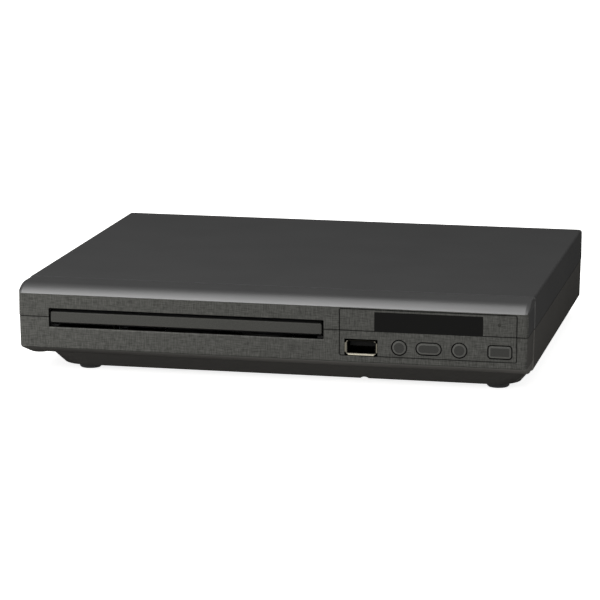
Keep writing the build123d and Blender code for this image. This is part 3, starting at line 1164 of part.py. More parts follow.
with BuildPart() as power_board:
    add(span_block(POWER_LEFT, POWER_RIGHT, POWER_FRONT, POWER_BACK, Z_POWER, Z_POWER + BOARD_T))
    add(upright(SCREW_HOLE_R, Z_POWER - 1, Z_POWER + BOARD_T + 1, power_spots), mode=Mode.SUBTRACT)
save(power_board, "power_board")

with BuildPart() as transformer:
    core_left = TRANSFORMER_X - TRANSFORMER_W / 2
    core_right = TRANSFORMER_X + TRANSFORMER_W / 2
    add(span_block(core_left, core_right, POWER_FRONT + 1.5, POWER_BACK - 3, Z_POWER + BOARD_T,
                   Z_POWER + BOARD_T + 4))
    add(span_block(core_left + 3, core_right - 3, POWER_FRONT + 3, POWER_BACK - 4.5,
                   Z_POWER + BOARD_T + 3, Z_POWER + BOARD_T + 14))
    add(span_block(core_left, core_right, POWER_FRONT + 1.5, POWER_BACK - 3, Z_POWER + BOARD_T + 13,
                   Z_POWER + BOARD_T + 17))
save(transformer, "transformer")

# Recessed jack panel with three AV jacks and an HDMI socket
panel_floor = BACK - SHELL_STEP - PANEL_DEEP
with BuildPart() as jack_panel:
    add(front_rect(PANEL_W - 2 * RUN_FIT, PANEL_H - 2 * RUN_FIT, 0, PANEL_X, z_panel_mid,
                   panel_floor, BACK - SHELL_STEP))
    add(front_rect(PANEL_W + 2 * PANEL_LIP, PANEL_H, 0, PANEL_X, z_panel_mid,
                   BACK - WALL - 2.0, BACK - WALL - 0.8))
    add(front_rect(PANEL_W - 2 * PANEL_T, PANEL_H - 2 * PANEL_T, 0, PANEL_X, z_panel_mid,
                   panel_floor + PANEL_T, BACK + 1), mode=Mode.SUBTRACT)
    rca_xs = [RCA_FIRST_X + RCA_PITCH * index for index in range(3)]
    for x in rca_xs:
        add(front_round(RCA_R + 0.3, x, RCA_Z, panel_floor - 1, panel_floor + PANEL_T + 1),
            mode=Mode.SUBTRACT)
    add(front_rect(HDMI_W + 0.4, HDMI_H + 0.4, 0, HDMI_X, RCA_Z, panel_floor - 1,
                   panel_floor + PANEL_T + 1), mode=Mode.SUBTRACT)
save(jack_panel, "jack_panel")

rca_out = panel_floor + PANEL_T + RCA_LEN - 0.6
with BuildPart() as rca_bodies:
    for x in rca_xs:
        add(span_block(x - RCA_BODY_W / 2, x + RCA_BODY_W / 2, panel_floor - RCA_BODY_D - 0.2,
                       panel_floor - 0.2, Z_MAIN_TOP, Z_MAIN_TOP + RCA_BODY_H))
save(rca_bodies, "rca_bodies")

with BuildPart() as rca_barrels:
    for x in rca_xs:
        add(front_round(RCA_R, x, RCA_Z, panel_floor - 0.2, rca_out))
        add(front_round(RCA_BORE_R, x, RCA_Z, panel_floor - 0.2, rca_out + 1), mode=Mode.SUBTRACT)
save(rca_barrels, "rca_barrels")

for name, x in zip(("rca_core_yellow", "rca_core_white", "rca_core_red"), rca_xs):
    with BuildPart() as rca_core:
        add(front_round(RCA_BORE_R, x, RCA_Z, panel_floor - 0.2, rca_out - 1.0))
        add(front_round(RCA_CORE_R, x, RCA_Z, panel_floor + 1.0, rca_out), mode=Mode.SUBTRACT)
    save(rca_core, name)

with BuildPart() as hdmi_socket:
    add(front_rect(HDMI_W, HDMI_H, 0.6, HDMI_X, RCA_Z, panel_floor + PANEL_T - HDMI_LEN,
                   panel_floor + PANEL_T))
    add(front_rect(HDMI_W - 2 * HDMI_SKIN, HDMI_H - 2 * HDMI_SKIN, 0.4, HDMI_X, RCA_Z,
                   panel_floor + PANEL_T - HDMI_LEN + 3, panel_floor + PANEL_T + 1),
        mode=Mode.SUBTRACT)
    add(front_rect(HDMI_W - 3.0, 1.2, 0, HDMI_X, RCA_Z, panel_floor + PANEL_T - HDMI_LEN + 2,
                   panel_floor + PANEL_T - 1.5))
    add(span_block(HDMI_X - HDMI_W / 2, HDMI_X + HDMI_W / 2, panel_floor + PANEL_T - HDMI_LEN,
                   MAIN_BACK, Z_MAIN_TOP, RCA_Z - HDMI_H / 2 + 0.2))
save(hdmi_socket, "hdmi_socket")

# Gland for the mains cord, in the back wall
with BuildPart() as cord_gland:
    add(front_round(GLAND_R, GLAND_X, GLAND_Z, BACK - SHELL_STEP - GLAND_LEN, BACK - SHELL_STEP))
    add(front_round(GLAND_FLANGE_R, GLAND_X, GLAND_Z, BACK - SHELL_STEP - WALL - GLAND_FLANGE_T - 0.5,
                    BACK - SHELL_STEP - WALL - 0.5))
    add(front_round(GLAND_BORE_R, GLAND_X, GLAND_Z, BACK - SHELL_STEP - GLAND_LEN - 1, BACK + 1),
        mode=Mode.SUBTRACT)
save(cord_gland, "cord_gland")
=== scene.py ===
"""Looks of a compact disc player with a motorised tray: finishes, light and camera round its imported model.

Metres. X runs to the right, Y from the front face to the back, Z up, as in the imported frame.
"""
from math import cos, pi, sin

import bpy
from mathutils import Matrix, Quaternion, Vector


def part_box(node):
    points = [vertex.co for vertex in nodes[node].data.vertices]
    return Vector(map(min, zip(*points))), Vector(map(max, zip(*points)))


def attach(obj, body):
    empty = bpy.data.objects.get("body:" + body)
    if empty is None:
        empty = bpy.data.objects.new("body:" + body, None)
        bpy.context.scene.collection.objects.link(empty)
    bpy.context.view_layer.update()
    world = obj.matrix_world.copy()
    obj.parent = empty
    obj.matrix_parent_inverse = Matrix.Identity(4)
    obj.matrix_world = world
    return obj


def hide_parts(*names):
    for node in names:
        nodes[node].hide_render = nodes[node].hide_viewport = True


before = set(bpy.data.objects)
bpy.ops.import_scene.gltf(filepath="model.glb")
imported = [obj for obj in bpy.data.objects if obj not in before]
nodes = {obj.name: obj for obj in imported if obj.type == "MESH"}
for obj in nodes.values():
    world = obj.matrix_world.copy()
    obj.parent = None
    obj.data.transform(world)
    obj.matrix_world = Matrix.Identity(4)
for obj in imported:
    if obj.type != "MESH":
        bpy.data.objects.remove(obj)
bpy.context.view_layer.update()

MM = 0.001

# Camera as in the photograph: far off, a little to the right and a little above the player
CAMERA_PLACE = (0.27729, -1.35381, 0.29504)
CAMERA_YAW = -0.20657
CAMERA_PITCH = -0.19689
CAMERA_ROLL = 0.00252
CAMERA_LENS = 182.86

# Light
WORLD_LEVEL = 0.35
FLOOR_COLOR = "#F4F3F1"
FLOOR_LIFT = 0.85

# Grain of the front face: gap between its threads and how far one runs
THREAD_GAP = 0.45 * MM
THREAD_RUN = 4.0 * MM

# Front face: how far back and between which heights it lies, and the bevel's lower edge
FACE_Y = -94.7 * MM
FACE_LOW = 12.4 * MM
FACE_HIGH = 36.4 * MM
BEVEL_LOW = 8.2 * MM

# Case levels that the painted light and shade follow: front plane, seam, slot, half width, and the step
# behind the nose
FRONT_Y = -96.0 * MM
SEAM_Z = 26.3 * MM
SLOT_Z = 21.8 * MM
SLOT_LEFT = -98.9 * MM
SLOT_RIGHT = 24.1 * MM
HALF_WIDTH = 113.0 * MM
STEP_Y = -76.5 * MM

# Painted light and shade: how much lighter or darker than its plain finish each zone of the case is
WALL_SHADE = 0.12
GROOVE_SHADE = 0.5
SEAM_SHADE = 0.3
SLOT_EDGE_LIGHT = 1.45
STEP_LIGHT = 1.9
SIDE_STEP_LIGHT = 1.7
BEVEL_SHADE = 0.8
BEVEL_LIGHT = 1.95
LIP_LIGHT = 2.6
LIP_RIGHT_LIGHT = 1.15

# Borders of a zone: how soft they are, and a distance past the whole player
SOFT = 0.05 * MM
FAR = 1.0

# Bevelled rims of the door and the buttons, where their painted highlight lies: the Y at which each starts
# and ends
DOOR_RIM = (-95.88 * MM, -95.66 * MM)
CAP_RIM = (-95.98 * MM, -95.53 * MM)

# Painted shade: tone of the door's right end and of the buttons, against the door's left end
CAP_FADE = 0.78

# Underside of the port's lip
PORT_LOW = 15.35 * MM

# Grain size of the plain mouldings, and depths of the two grains
SPARK = 0.28 * MM
SPARK_DEPTH = 0.006 * MM
LINEN_DEPTH = 0.09 * MM

# Rolled lip of the front section: its gloss and its painted highlight run out from its lower edge to its
# crest
LIP_LOW = 36.6 * MM
LIP_HIGH = 39.9 * MM
LIP_ROUGHNESS = 0.28

# Port contacts: how many, their step and bar, their start behind the tongue's front, and their height
CONTACT_COUNT = 4
CONTACT_STEP = 2.5 * MM
CONTACT_BAR = (1.0 * MM, 6.6 * MM, 0.12 * MM)
CONTACT_INSET = 4.0 * MM
CONTACT_Z = 18.81 * MM

# Thread of the lead screw
SCREW_LEAD = 3.0 * MM
SCREW_RIDGE = 0.35 * MM

# Chip legs: their middle outside the chip's side, the first one's place from its end, and their bar
LEG_OUT = 0.5 * MM
LEG_INSET = 0.8 * MM
LEG_LENGTH = 1.3 * MM
LEG_THICK = 0.2 * MM
LEG_LIFT = 0.15 * MM

# Main board: height of its face, and each chip's x, y, width, depth and legs down one side
BOARD_FACE = 15.95 * MM
CHIP_LEGS = ((66 * MM, -8 * MM, 20 * MM, 20 * MM, 14), (66 * MM, 22 * MM, 10 * MM, 18 * MM, 12),
             (86 * MM, -20 * MM, 12 * MM, 9 * MM, 6), (48 * MM, 20 * MM, 8 * MM, 8 * MM, 4))


def linear(code):
    """Linear RGBA of an sRGB hex code."""
    parts = [int(code[start:start + 2], 16) / 255 for start in (1, 3, 5)]
    return [part / 12.92 if part <= 0.04045 else ((part + 0.055) / 1.055) ** 2.4 for part in parts] + [1.0]


def node(tree, kind, inputs=None, **settings):
    """Adds a node with its settings. Each input is a value, or an output socket to link from."""
    made = tree.nodes.new(kind)
    for name, value in settings.items():
        setattr(made, name, value)
    for name, value in (inputs or {}).items():
        if isinstance(value, bpy.types.NodeSocket):
            tree.links.new(value, made.inputs[name])
        else:
            made.inputs[name].default_value = value
    return made


def start_material(name, color, roughness, sockets):
    """New material with a Principled shader, its Object coordinates, and the tree they are in."""
    material = bpy.data.materials.new(name)
    material.use_nodes = True
    tree = material.node_tree
    shader = tree.nodes["Principled BSDF"]
    shader.inputs["Base Color"].default_value = linear(color)
    shader.inputs["Roughness"].default_value = roughness
    for socket, value in sockets.items():
        shader.inputs[socket].default_value = value
    place = node(tree, "ShaderNodeTexCoord").outputs["Object"]
    return material, tree, shader, place


def remap(tree, value, low, high, source=(0.3, 0.7)):
    """Value taken from the source range to the range from low to high."""
    made = node(tree, "ShaderNodeMapRange", {"Value": value, "From Min": source[0], "From Max": source[1],
                                             "To Min": low, "To Max": high})
    return made.outputs["Result"]


def tinted(tree, color, factor):
    """Colour multiplied by a grey factor."""
    made = node(tree, "ShaderNodeMix", data_type="RGBA", blend_type="MULTIPLY")
    made.inputs[0].default_value = 1.0
    made.inputs[6].default_value = linear(color)
    tree.links.new(factor, made.inputs[7])
    return made.outputs[2]


def product(tree, *values):
    """Product of factors, each a value or a socket."""
    result = values[0]
    for value in values[1:]:
        result = node(tree, "ShaderNodeMath", {0: result, 1: value}, operation="MULTIPLY").outputs["Value"]
    return result


def between(tree, value, low, high, soft=SOFT):
    """1 where value lies between low and high, 0 outside, with a soft step."""
    rise = remap(tree, value, 0.0, 1.0, (low - soft, low + soft))
    fall = remap(tree, value, 1.0, 0.0, (high - soft, high + soft))
    return product(tree, rise, fall)


def shaded(tree, color, factor, zone):
    """Colour that a zone multiplies by a factor, and that stays as it is outside the zone."""
    grey = remap(tree, zone, 1.0, factor, (0.0, 1.0))
    made = node(tree, "ShaderNodeVectorMath", {0: color, "Scale": grey}, operation="SCALE")
    return made.outputs["Vector"]


def noise(tree, place, scale, detail):
    """Noise of a scale and detail at a place."""
    made = node(tree, "ShaderNodeTexNoise", {"Vector": place, "Scale": scale, "Detail": detail})
    return made.outputs["Fac"]


def threads(tree, place, along, across):
    """Streaks of noise: long in one direction and narrow in the other."""
    scale = (1 / across, 1 / THREAD_RUN, 1 / along)
    run = node(tree, "ShaderNodeMapping", {"Vector": place, "Scale": scale}).outputs["Vector"]
    made = node(tree, "ShaderNodeTexNoise", {"Vector": run, "Scale": 1.0, "Detail": 3.0, "Roughness": 0.6})
    return made.outputs["Fac"]


def moulded(name, color, roughness, grain, depth, spread=0.06, sockets=None):
    """Moulded or cast surface: even grain in its relief, slightly uneven in colour and gloss."""
    material, tree, shader, place = start_material(name, color, roughness, sockets or {})
    fine = noise(tree, place, 1 / grain, 2.0)
    broad = noise(tree, place, 1 / (80 * grain), 3.0)
    relief = node(tree, "ShaderNodeBump", {"Height": fine, "Distance": depth}).outputs["Normal"]
    tone = tinted(tree, color, remap(tree, broad, 1 - spread, 1 + spread))
    tree.links.new(tone, shader.inputs["Base Color"])
    tree.links.new(remap(tree, fine, roughness - 0.04, roughness + 0.04), shader.inputs["Roughness"])
    tree.links.new(relief, shader.inputs["Normal"])
    return material


def case_shell(name, color, face_color, roughness, face_roughness, specular, lip=0.0):
    """Moulded ABS case: spark grain all over, woven linen grain on its front face, and a glossier lip;
    painted light and shade fade across it, darken its slot, grooves, holes, seam and bevel, and lighten its
    edges, bevel and lip.
    """
    material, tree, shader, place = start_material(name, color, roughness, {"Specular IOR Level": specular})
    axes = node(tree, "ShaderNodeSeparateXYZ", {"Vector": place}).outputs
    height = between(tree, axes["Z"], FACE_LOW, FACE_HIGH)
    on_face = product(tree, between(tree, axes["Y"], -FAR, FACE_Y), height)
    # Linen: upright and level threads of uneven thickness, each broken after a few millimetres
    upright = threads(tree, place, THREAD_RUN, THREAD_GAP)
    level = threads(tree, place, THREAD_GAP, THREAD_RUN)
    linen = node(tree, "ShaderNodeMath", {0: upright, 1: level}, operation="ADD").outputs["Value"]
    # Plain finish with painted light that fades to the back, and woven finish with painted light that fades
    # to the right
    broad = noise(tree, place, 30.0, 2.0)
    painted_light_fade = remap(tree, axes["Y"], 1.1, 0.92, (FRONT_Y, -FRONT_Y))
    plain_color = tinted(tree, color, product(tree, remap(tree, broad, 0.97, 1.03), painted_light_fade))
    face_tone = remap(tree, linen, 0.62, 1.38, (0.75, 1.25))
    face_painted_light = remap(tree, axes["X"], 1.15, 0.93, (-HALF_WIDTH, 0.0))
    woven_color = tinted(tree, face_color, product(tree, face_tone, face_painted_light))
    surface = node(tree, "ShaderNodeMix", data_type="RGBA")
    tree.links.new(on_face, surface.inputs[0])
    tree.links.new(plain_color, surface.inputs[6])
    tree.links.new(woven_color, surface.inputs[7])
    gloss = node(tree, "ShaderNodeMix", {0: on_face, 2: roughness, 3: face_roughness}).outputs[0]
    spark = noise(tree, place, 1 / SPARK, 2.0)
    relief = node(tree, "ShaderNodeBump", {"Height": spark, "Distance": SPARK_DEPTH}).outputs["Normal"]
    relief = node(tree, "ShaderNodeBump", {"Height": product(tree, linen, on_face), "Normal": relief,
                                           "Distance": LINEN_DEPTH}).outputs["Normal"]
    # Walls of the slot, grooves and holes, and the gap at the seam: painted deep shadow
    inside = between(tree, axes["X"], -HALF_WIDTH + 3 * MM, HALF_WIDTH - 3 * MM, 0.1 * MM)
    grooved = between(tree, axes["Y"], FRONT_Y + 0.55 * MM, FRONT_Y + 1.1 * MM, 0.03 * MM)
    sunk = between(tree, axes["Y"], FRONT_Y + 1.1 * MM, FRONT_Y + 12 * MM, 0.03 * MM)
    walls = product(tree, inside, sunk, height)
    seam = between(tree, axes["Z"], SEAM_Z - 0.2 * MM, SEAM_Z + 0.3 * MM)
    tone = shaded(tree, surface.outputs[2], WALL_SHADE, walls)
    tone = shaded(tree, tone, GROOVE_SHADE, product(tree, inside, grooved, height))
    tone = shaded(tree, tone, SEAM_SHADE, seam)
    # Painted highlights on rounded edges: under the slot, and at the step behind the front section
    under = between(tree, axes["Z"], SLOT_Z - 0.5 * MM, SLOT_Z)
    along = between(tree, axes["X"], SLOT_LEFT, SLOT_RIGHT)
    tone = shaded(tree, tone, SLOT_EDGE_LIGHT, product(tree, under, along, on_face))
    step = between(tree, axes["Y"], STEP_Y - 0.15 * MM, STEP_Y + 0.25 * MM)
    side = between(tree, axes["Z"], -FAR, 39.0 * MM, 0.3 * MM)
    tone = shaded(tree, tone, STEP_LIGHT, step)
    tone = shaded(tree, tone, SIDE_STEP_LIGHT, product(tree, step, side))
    # Bevel under the front face: painted shade on the left, and painted light from there to the middle
    ahead = between(tree, axes["Y"], -FAR, STEP_Y)
    bevel = product(tree, between(tree, axes["Z"], BEVEL_LOW, FACE_LOW + SOFT), ahead)
    rightward = remap(tree, axes["X"], 0.0, 1.0, (-HALF_WIDTH, 0.0))
    tone = shaded(tree, tone, BEVEL_SHADE, bevel)
    tone = shaded(tree, tone, BEVEL_LIGHT, product(tree, bevel, rightward))
    tree.links.new(gloss, shader.inputs["Roughness"])
    tree.links.new(relief, shader.inputs["Normal"])
    if lip > 0:
        # Rolled lip: a glossier coat and a painted highlight towards its lower edge, and painted light
        # towards its right end
        nose = product(tree, ahead, between(tree, axes["Z"], FACE_HIGH, FAR))
        flat = between(tree, axes["X"], -HALF_WIDTH + 1.6 * MM, HALF_WIDTH - 1.9 * MM, 0.2 * MM)
        wide = between(tree, axes["X"], -HALF_WIDTH + 1.0 * MM, HALF_WIDTH - 0.8 * MM, 0.1 * MM)
        lip_gloss_and_painted_light = remap(tree, axes["Z"], lip, 0.0, (LIP_LOW, LIP_HIGH))
        tone = shaded(tree, tone, LIP_LIGHT, product(tree, nose, lip_gloss_and_painted_light, lip_gloss_and_painted_light, wide))
        right = remap(tree, axes["X"], 0.0, 1.0, (0.0, HALF_WIDTH))
        tone = shaded(tree, tone, LIP_RIGHT_LIGHT, product(tree, nose, right))
        tree.links.new(product(tree, nose, lip_gloss_and_painted_light, flat), shader.inputs["Coat Weight"])
        shader.inputs["Coat Roughness"].default_value = LIP_ROUGHNESS
    tree.links.new(tone, shader.inputs["Base Color"])
    return material


def rimmed(name, color, roughness, specular, rim, rim_y, sides):
    """Moulded cap with a painted highlight on its bevelled rim, painted shade on its sides behind the rim,
    and painted shade that deepens from the slot's left end to its right.
    """
    material, tree, shader, place = start_material(name, color, roughness, {"Specular IOR Level": specular})
    axes = node(tree, "ShaderNodeSeparateXYZ", {"Vector": place}).outputs
    fine = noise(tree, place, 1 / (0.5 * MM), 2.0)
    painted_light_fade = remap(tree, axes["X"], 1.0, CAP_FADE, (SLOT_LEFT, SLOT_RIGHT))
    plain = tinted(tree, color, product(tree, remap(tree, fine, 0.88, 1.12), painted_light_fade))
    edge = between(tree, axes["Y"], rim_y[0], rim_y[1], 0.03 * MM)
    back = between(tree, axes["Y"], rim_y[1], FAR, 0.03 * MM)
    tone = shaded(tree, shaded(tree, plain, rim, edge), sides, back)
    relief = node(tree, "ShaderNodeBump", {"Height": fine, "Distance": SPARK_DEPTH}).outputs["Normal"]
    tree.links.new(tone, shader.inputs["Base Color"])
    tree.links.new(relief, shader.inputs["Normal"])
    return material


def brushed(name, color, roughness, gap, run, axis=0):
    """Rolled or brushed metal: hairlines along one axis, in its gloss and relief."""
    material, tree, shader, place = start_material(name, color, roughness, {"Metallic": 1.0})
    scale = [1 / gap] * 3
    scale[axis] = 1 / run
    lines = node(tree, "ShaderNodeMapping", {"Vector": place, "Scale": scale}).outputs["Vector"]
    hair = noise(tree, lines, 1.0, 4.0)
    relief = node(tree, "ShaderNodeBump", {"Height": hair, "Distance": 0.004 * MM}).outputs["Normal"]
    tree.links.new(tinted(tree, color, remap(tree, hair, 0.9, 1.08)), shader.inputs["Base Color"])
    tree.links.new(remap(tree, hair, roughness - 0.07, roughness + 0.09), shader.inputs["Roughness"])
    tree.links.new(relief, shader.inputs["Normal"])
    return material


def plated_port(name, color, roughness):
    """Nickel-plated port shell: bright on the front of its lower lip, with painted shade above it, under it
    and inside.
    """
    material, tree, shader, place = start_material(name, color, roughness, {"Metallic": 1.0})
    axes = node(tree, "ShaderNodeSeparateXYZ", {"Vector": place}).outputs
    above_lip_painted_shade = between(tree, axes["Z"], PORT_LOW + 0.75 * MM, FAR, 0.1 * MM)
    under = between(tree, axes["Z"], -FAR, PORT_LOW + 0.25 * MM, 0.1 * MM)
    deep = between(tree, axes["Y"], FRONT_Y + 0.9 * MM, FAR, 0.1 * MM)
    tone = node(tree, "ShaderNodeRGB").outputs["Color"]
    tone.default_value = linear(color)
    for factor, zone in ((0.3, above_lip_painted_shade), (0.05, deep), (0.1, under)):
        tone = shaded(tree, tone, factor, zone)
    tree.links.new(tone, shader.inputs["Base Color"])
    return material


# Spark-textured black ABS: nearly matt, a little warm, with a dull sheen on its curves that is partly a
# glossier coat and partly a painted highlight
upper_shell = case_shell("spark_textured_abs_upper", "#444444", "#575754", 0.62, 0.7, 0.0, 1.0)
lower_shell = case_shell("spark_textured_abs_lower", "#4A4947", "#595956", 0.66, 0.7, 0.0)
# Fine-blasted ABS: the door is smoother than the face round it, with a painted highlight on its bevelled rim
# and painted shade on its sides
door_abs = rimmed("blasted_abs_door", "#474744", 0.5, 0.12, 1.8, DOOR_RIM, 0.3)
# Satin ABS: button caps with painted glints on their bevelled rims and painted shade on their sides
button_abs = rimmed("satin_abs_button", "#363634", 0.42, 0.12, 3.6, CAP_RIM, 0.1)
# Smoked acrylic: reads black and mirrors soft light
smoked_acrylic = moulded("smoked_acrylic_window", "#0A0A09", 0.16, 6 * MM, 0.001 * MM, 0.02,
                         {"Specular IOR Level": 0.06})
# Natural rubber, dusty black
foot_rubber = moulded("natural_rubber_foot", "#1C1C1C", 0.75, 0.4 * MM, 0.02 * MM)
# Infrared filter: dark acrylic, hardly darker than the face round it
filter_acrylic = moulded("dyed_acrylic_filter", "#3A3A36", 0.35, 2 * MM, 0.001 * MM, 0.02,
                         {"Specular IOR Level": 0.1})
# Nickel-plated steel: bright and a little warm, with fine lines where it is drawn; the port's shell has
# painted shade away from the front of its lower lip
port_nickel = plated_port("nickel_plated_port", "#AAA596", 0.3)
nickel = brushed("nickel_plated_steel", "#B4B0A6", 0.3, 0.08 * MM, 3 * MM)
# Inner ABS mouldings: the tray has a low even shine, the loader is dull, its frame parts are greyer; the
# tray and the loader are black ABS darkened further as painted shade where they show through the slot
tray_abs = moulded("moulded_abs_tray", "#222223", 0.45, 0.35 * MM, 0.01 * MM)
loader_abs = moulded("moulded_abs_loader", "#0F0F10", 0.65, 0.35 * MM, 0.01 * MM)
frame_abs = moulded("moulded_abs_frame", "#3A3A3D", 0.55, 0.35 * MM, 0.01 * MM)
# Acetal: waxy, near white where it is natural and deep black where it is dyed
acetal = moulded("natural_acetal_gear", "#E3DFD0", 0.35, 0.5 * MM, 0.003 * MM, 0.03)
black_acetal = moulded("black_acetal_gear", "#161616", 0.4, 0.5 * MM, 0.003 * MM, 0.03,
                       {"Specular IOR Level": 0.15})
# Ground rubber: flat black
belt_rubber = moulded("ground_rubber_belt", "#131313", 0.65, 0.2 * MM, 0.01 * MM)
# Steels: pale rolled sheet, a brighter drawn can, rods near to mirrors, and screws dark with oxide
zinc_sheet = brushed("zinc_plated_sheet", "#B9BCC0", 0.38, 0.2 * MM, 12 * MM, 0)
motor_can = brushed("drawn_steel_motor_can", "#A9ABAE", 0.3, 0.15 * MM, 6 * MM, 2)
ground_steel = brushed("ground_steel_rod", "#C6C8CA", 0.16, 0.05 * MM, 4 * MM, 1)
black_steel = brushed("black_oxide_screw", "#3B3B3D", 0.4, 0.1 * MM, 1 * MM)
# Mouldings in black PBT and epoxy: flat, with no glint from a step away
port_pbt = moulded("moulded_pbt_tongue", "#0C0C0C", 0.6, 0.3 * MM, 0.004 * MM,
                   sockets={"Specular IOR Level": 0.1})
epoxy_black = moulded("moulded_epoxy_chip", "#191919", 0.6, 0.2 * MM, 0.006 * MM)
# Shrunk sleeves and coil tape: thin glossy film in dark blue and amber
sleeve_pvc = moulded("shrunk_pvc_sleeve", "#1C2440", 0.3, 1.5 * MM, 0.002 * MM)
yellow_tape = moulded("polyester_coil_tape", "#C79A22", 0.28, 2 * MM, 0.01 * MM)
# Boards: glossy lacquer over the weave of the glass, a black front board whose black is partly painted shade
# where it shows through a notch in the case, and bare brown paper board
fibreglass_board = moulded("green_solder_mask_board", "#1D5A33", 0.3, 1.2 * MM, 0.01 * MM, 0.12)
black_board = moulded("black_solder_mask_board", "#1A1A19", 0.35, 1.2 * MM, 0.01 * MM, 0.1)
paper_board = moulded("paper_phenolic_board", "#9A6A36", 0.5, 1.5 * MM, 0.01 * MM, 0.1)
# Coloured PBT: the jacks' code colours, with a soft shine
jack_yellow = moulded("moulded_pbt_yellow", "#D9B021", 0.4, 0.4 * MM, 0.005 * MM)
jack_white = moulded("moulded_pbt_white", "#E4E2DC", 0.4, 0.4 * MM, 0.005 * MM)
jack_red = moulded("moulded_pbt_red", "#B3241C", 0.4, 0.4 * MM, 0.005 * MM)
# Coated glass: smooth, with a blue cast
lens_glass = moulded("coated_lens_glass", "#27304E", 0.05, 4 * MM, 0.0005 * MM)
# Contacts: warm hard gold over nickel, and grey tinned legs
gold_contact = brushed("gold_plated_contact", "#D9AE55", 0.22, 0.06 * MM, 2 * MM, 1)
tinned_leg = brushed("tinned_copper_leg", "#B9BABB", 0.32, 0.06 * MM, 1 * MM)

finishes = {
    "top_case": upper_shell, "bottom_case": lower_shell, "rubber_feet": foot_rubber,
    "case_screws": black_steel, "loader_frame": loader_abs, "loader_screws": black_steel,
    "clamp_bridge": zinc_sheet, "bridge_screws": black_steel, "clamp_puck": frame_abs,
    "loading_motor": motor_can, "motor_shaft": ground_steel, "motor_pulley": black_acetal,
    "pulley_gear": black_acetal, "drive_gear": black_acetal, "drive_belt": belt_rubber,
    "disc_tray": tray_abs, "tray_door": door_abs, "deck_plate": zinc_sheet,
    "deck_pins": black_steel, "guide_rods": ground_steel, "spindle_motor": motor_can,
    "spindle_shaft": ground_steel, "turntable": tray_abs, "pickup_sled": tray_abs,
    "pickup_lens": lens_glass, "sled_motor": motor_can, "lead_screw": ground_steel,
    "cam_slide": acetal, "display_window": smoked_acrylic, "display_module": frame_abs,
    "front_board": black_board, "tact_switches": epoxy_black, "ir_receiver": filter_acrylic,
    "round_button_left": button_abs, "round_button_right": button_abs,
    "oval_button": button_abs, "square_button": button_abs,
    "usb_shell": port_nickel, "usb_tongue": port_pbt, "main_board": fibreglass_board,
    "board_screws": black_steel, "board_chips": epoxy_black, "board_capacitors": sleeve_pvc,
    "power_board": paper_board, "transformer": yellow_tape, "jack_panel": frame_abs,
    "rca_bodies": epoxy_black, "rca_barrels": nickel, "rca_core_yellow": jack_yellow,
    "rca_core_white": jack_white, "rca_core_red": jack_red, "hdmi_socket": nickel,
    "cord_gland": foot_rubber,
}
for name, material in finishes.items():
    nodes[name].data.materials.clear()
    nodes[name].data.materials.append(material)


def start_tree(name, inputs):
    """New geometry tree with inputs given as (name, kind) pairs, and the sockets that bring them in."""
    tree = bpy.data.node_groups.new(name, "GeometryNodeTree")
    for label, kind in inputs:
        tree.interface.new_socket(label, in_out="INPUT", socket_type=kind)
    tree.interface.new_socket("Geometry", in_out="OUTPUT", socket_type="NodeSocketGeometry")
    return tree, node(tree, "NodeGroupInput").outputs


def end_tree(tree, geometry, material):
    """Real geometry in one material, as the tree's output."""
    whole = node(tree, "GeometryNodeRealizeInstances", {"Geometry": geometry}).outputs["Geometry"]
    dressed = node(tree, "GeometryNodeSetMaterial", {"Geometry": whole, "Material": material})
    node(tree, "NodeGroupOutput", {"Geometry": dressed.outputs["Geometry"]})
    return tree


def bar_grid():
    """Rows of small bars: contacts of a socket, or legs of a chip."""
    tree, given = start_tree("bar_grid", (("Start", "NodeSocketVector"), ("Bar", "NodeSocketVector"),
                                          ("Count", "NodeSocketInt"), ("Step", "NodeSocketVector"),
                                          ("Rows", "NodeSocketInt"), ("Across", "NodeSocketVector"),
                                          ("Material", "NodeSocketMaterial")))
    bar = node(tree, "GeometryNodeMeshCube", {"Size": given["Bar"]}).outputs["Mesh"]
    row = node(tree, "GeometryNodeMeshLine", {"Count": given["Count"], "Offset": given["Step"]})
    bars = node(tree, "GeometryNodeInstanceOnPoints", {"Points": row.outputs["Mesh"], "Instance": bar})
    rows = node(tree, "GeometryNodeMeshLine", {"Count": given["Rows"], "Start Location": given["Start"],
                                               "Offset": given["Across"]})
    grid = node(tree, "GeometryNodeInstanceOnPoints", {"Points": rows.outputs["Mesh"],
                                                       "Instance": bars.outputs["Instances"]})
    return end_tree(tree, grid.outputs["Instances"], given["Material"])


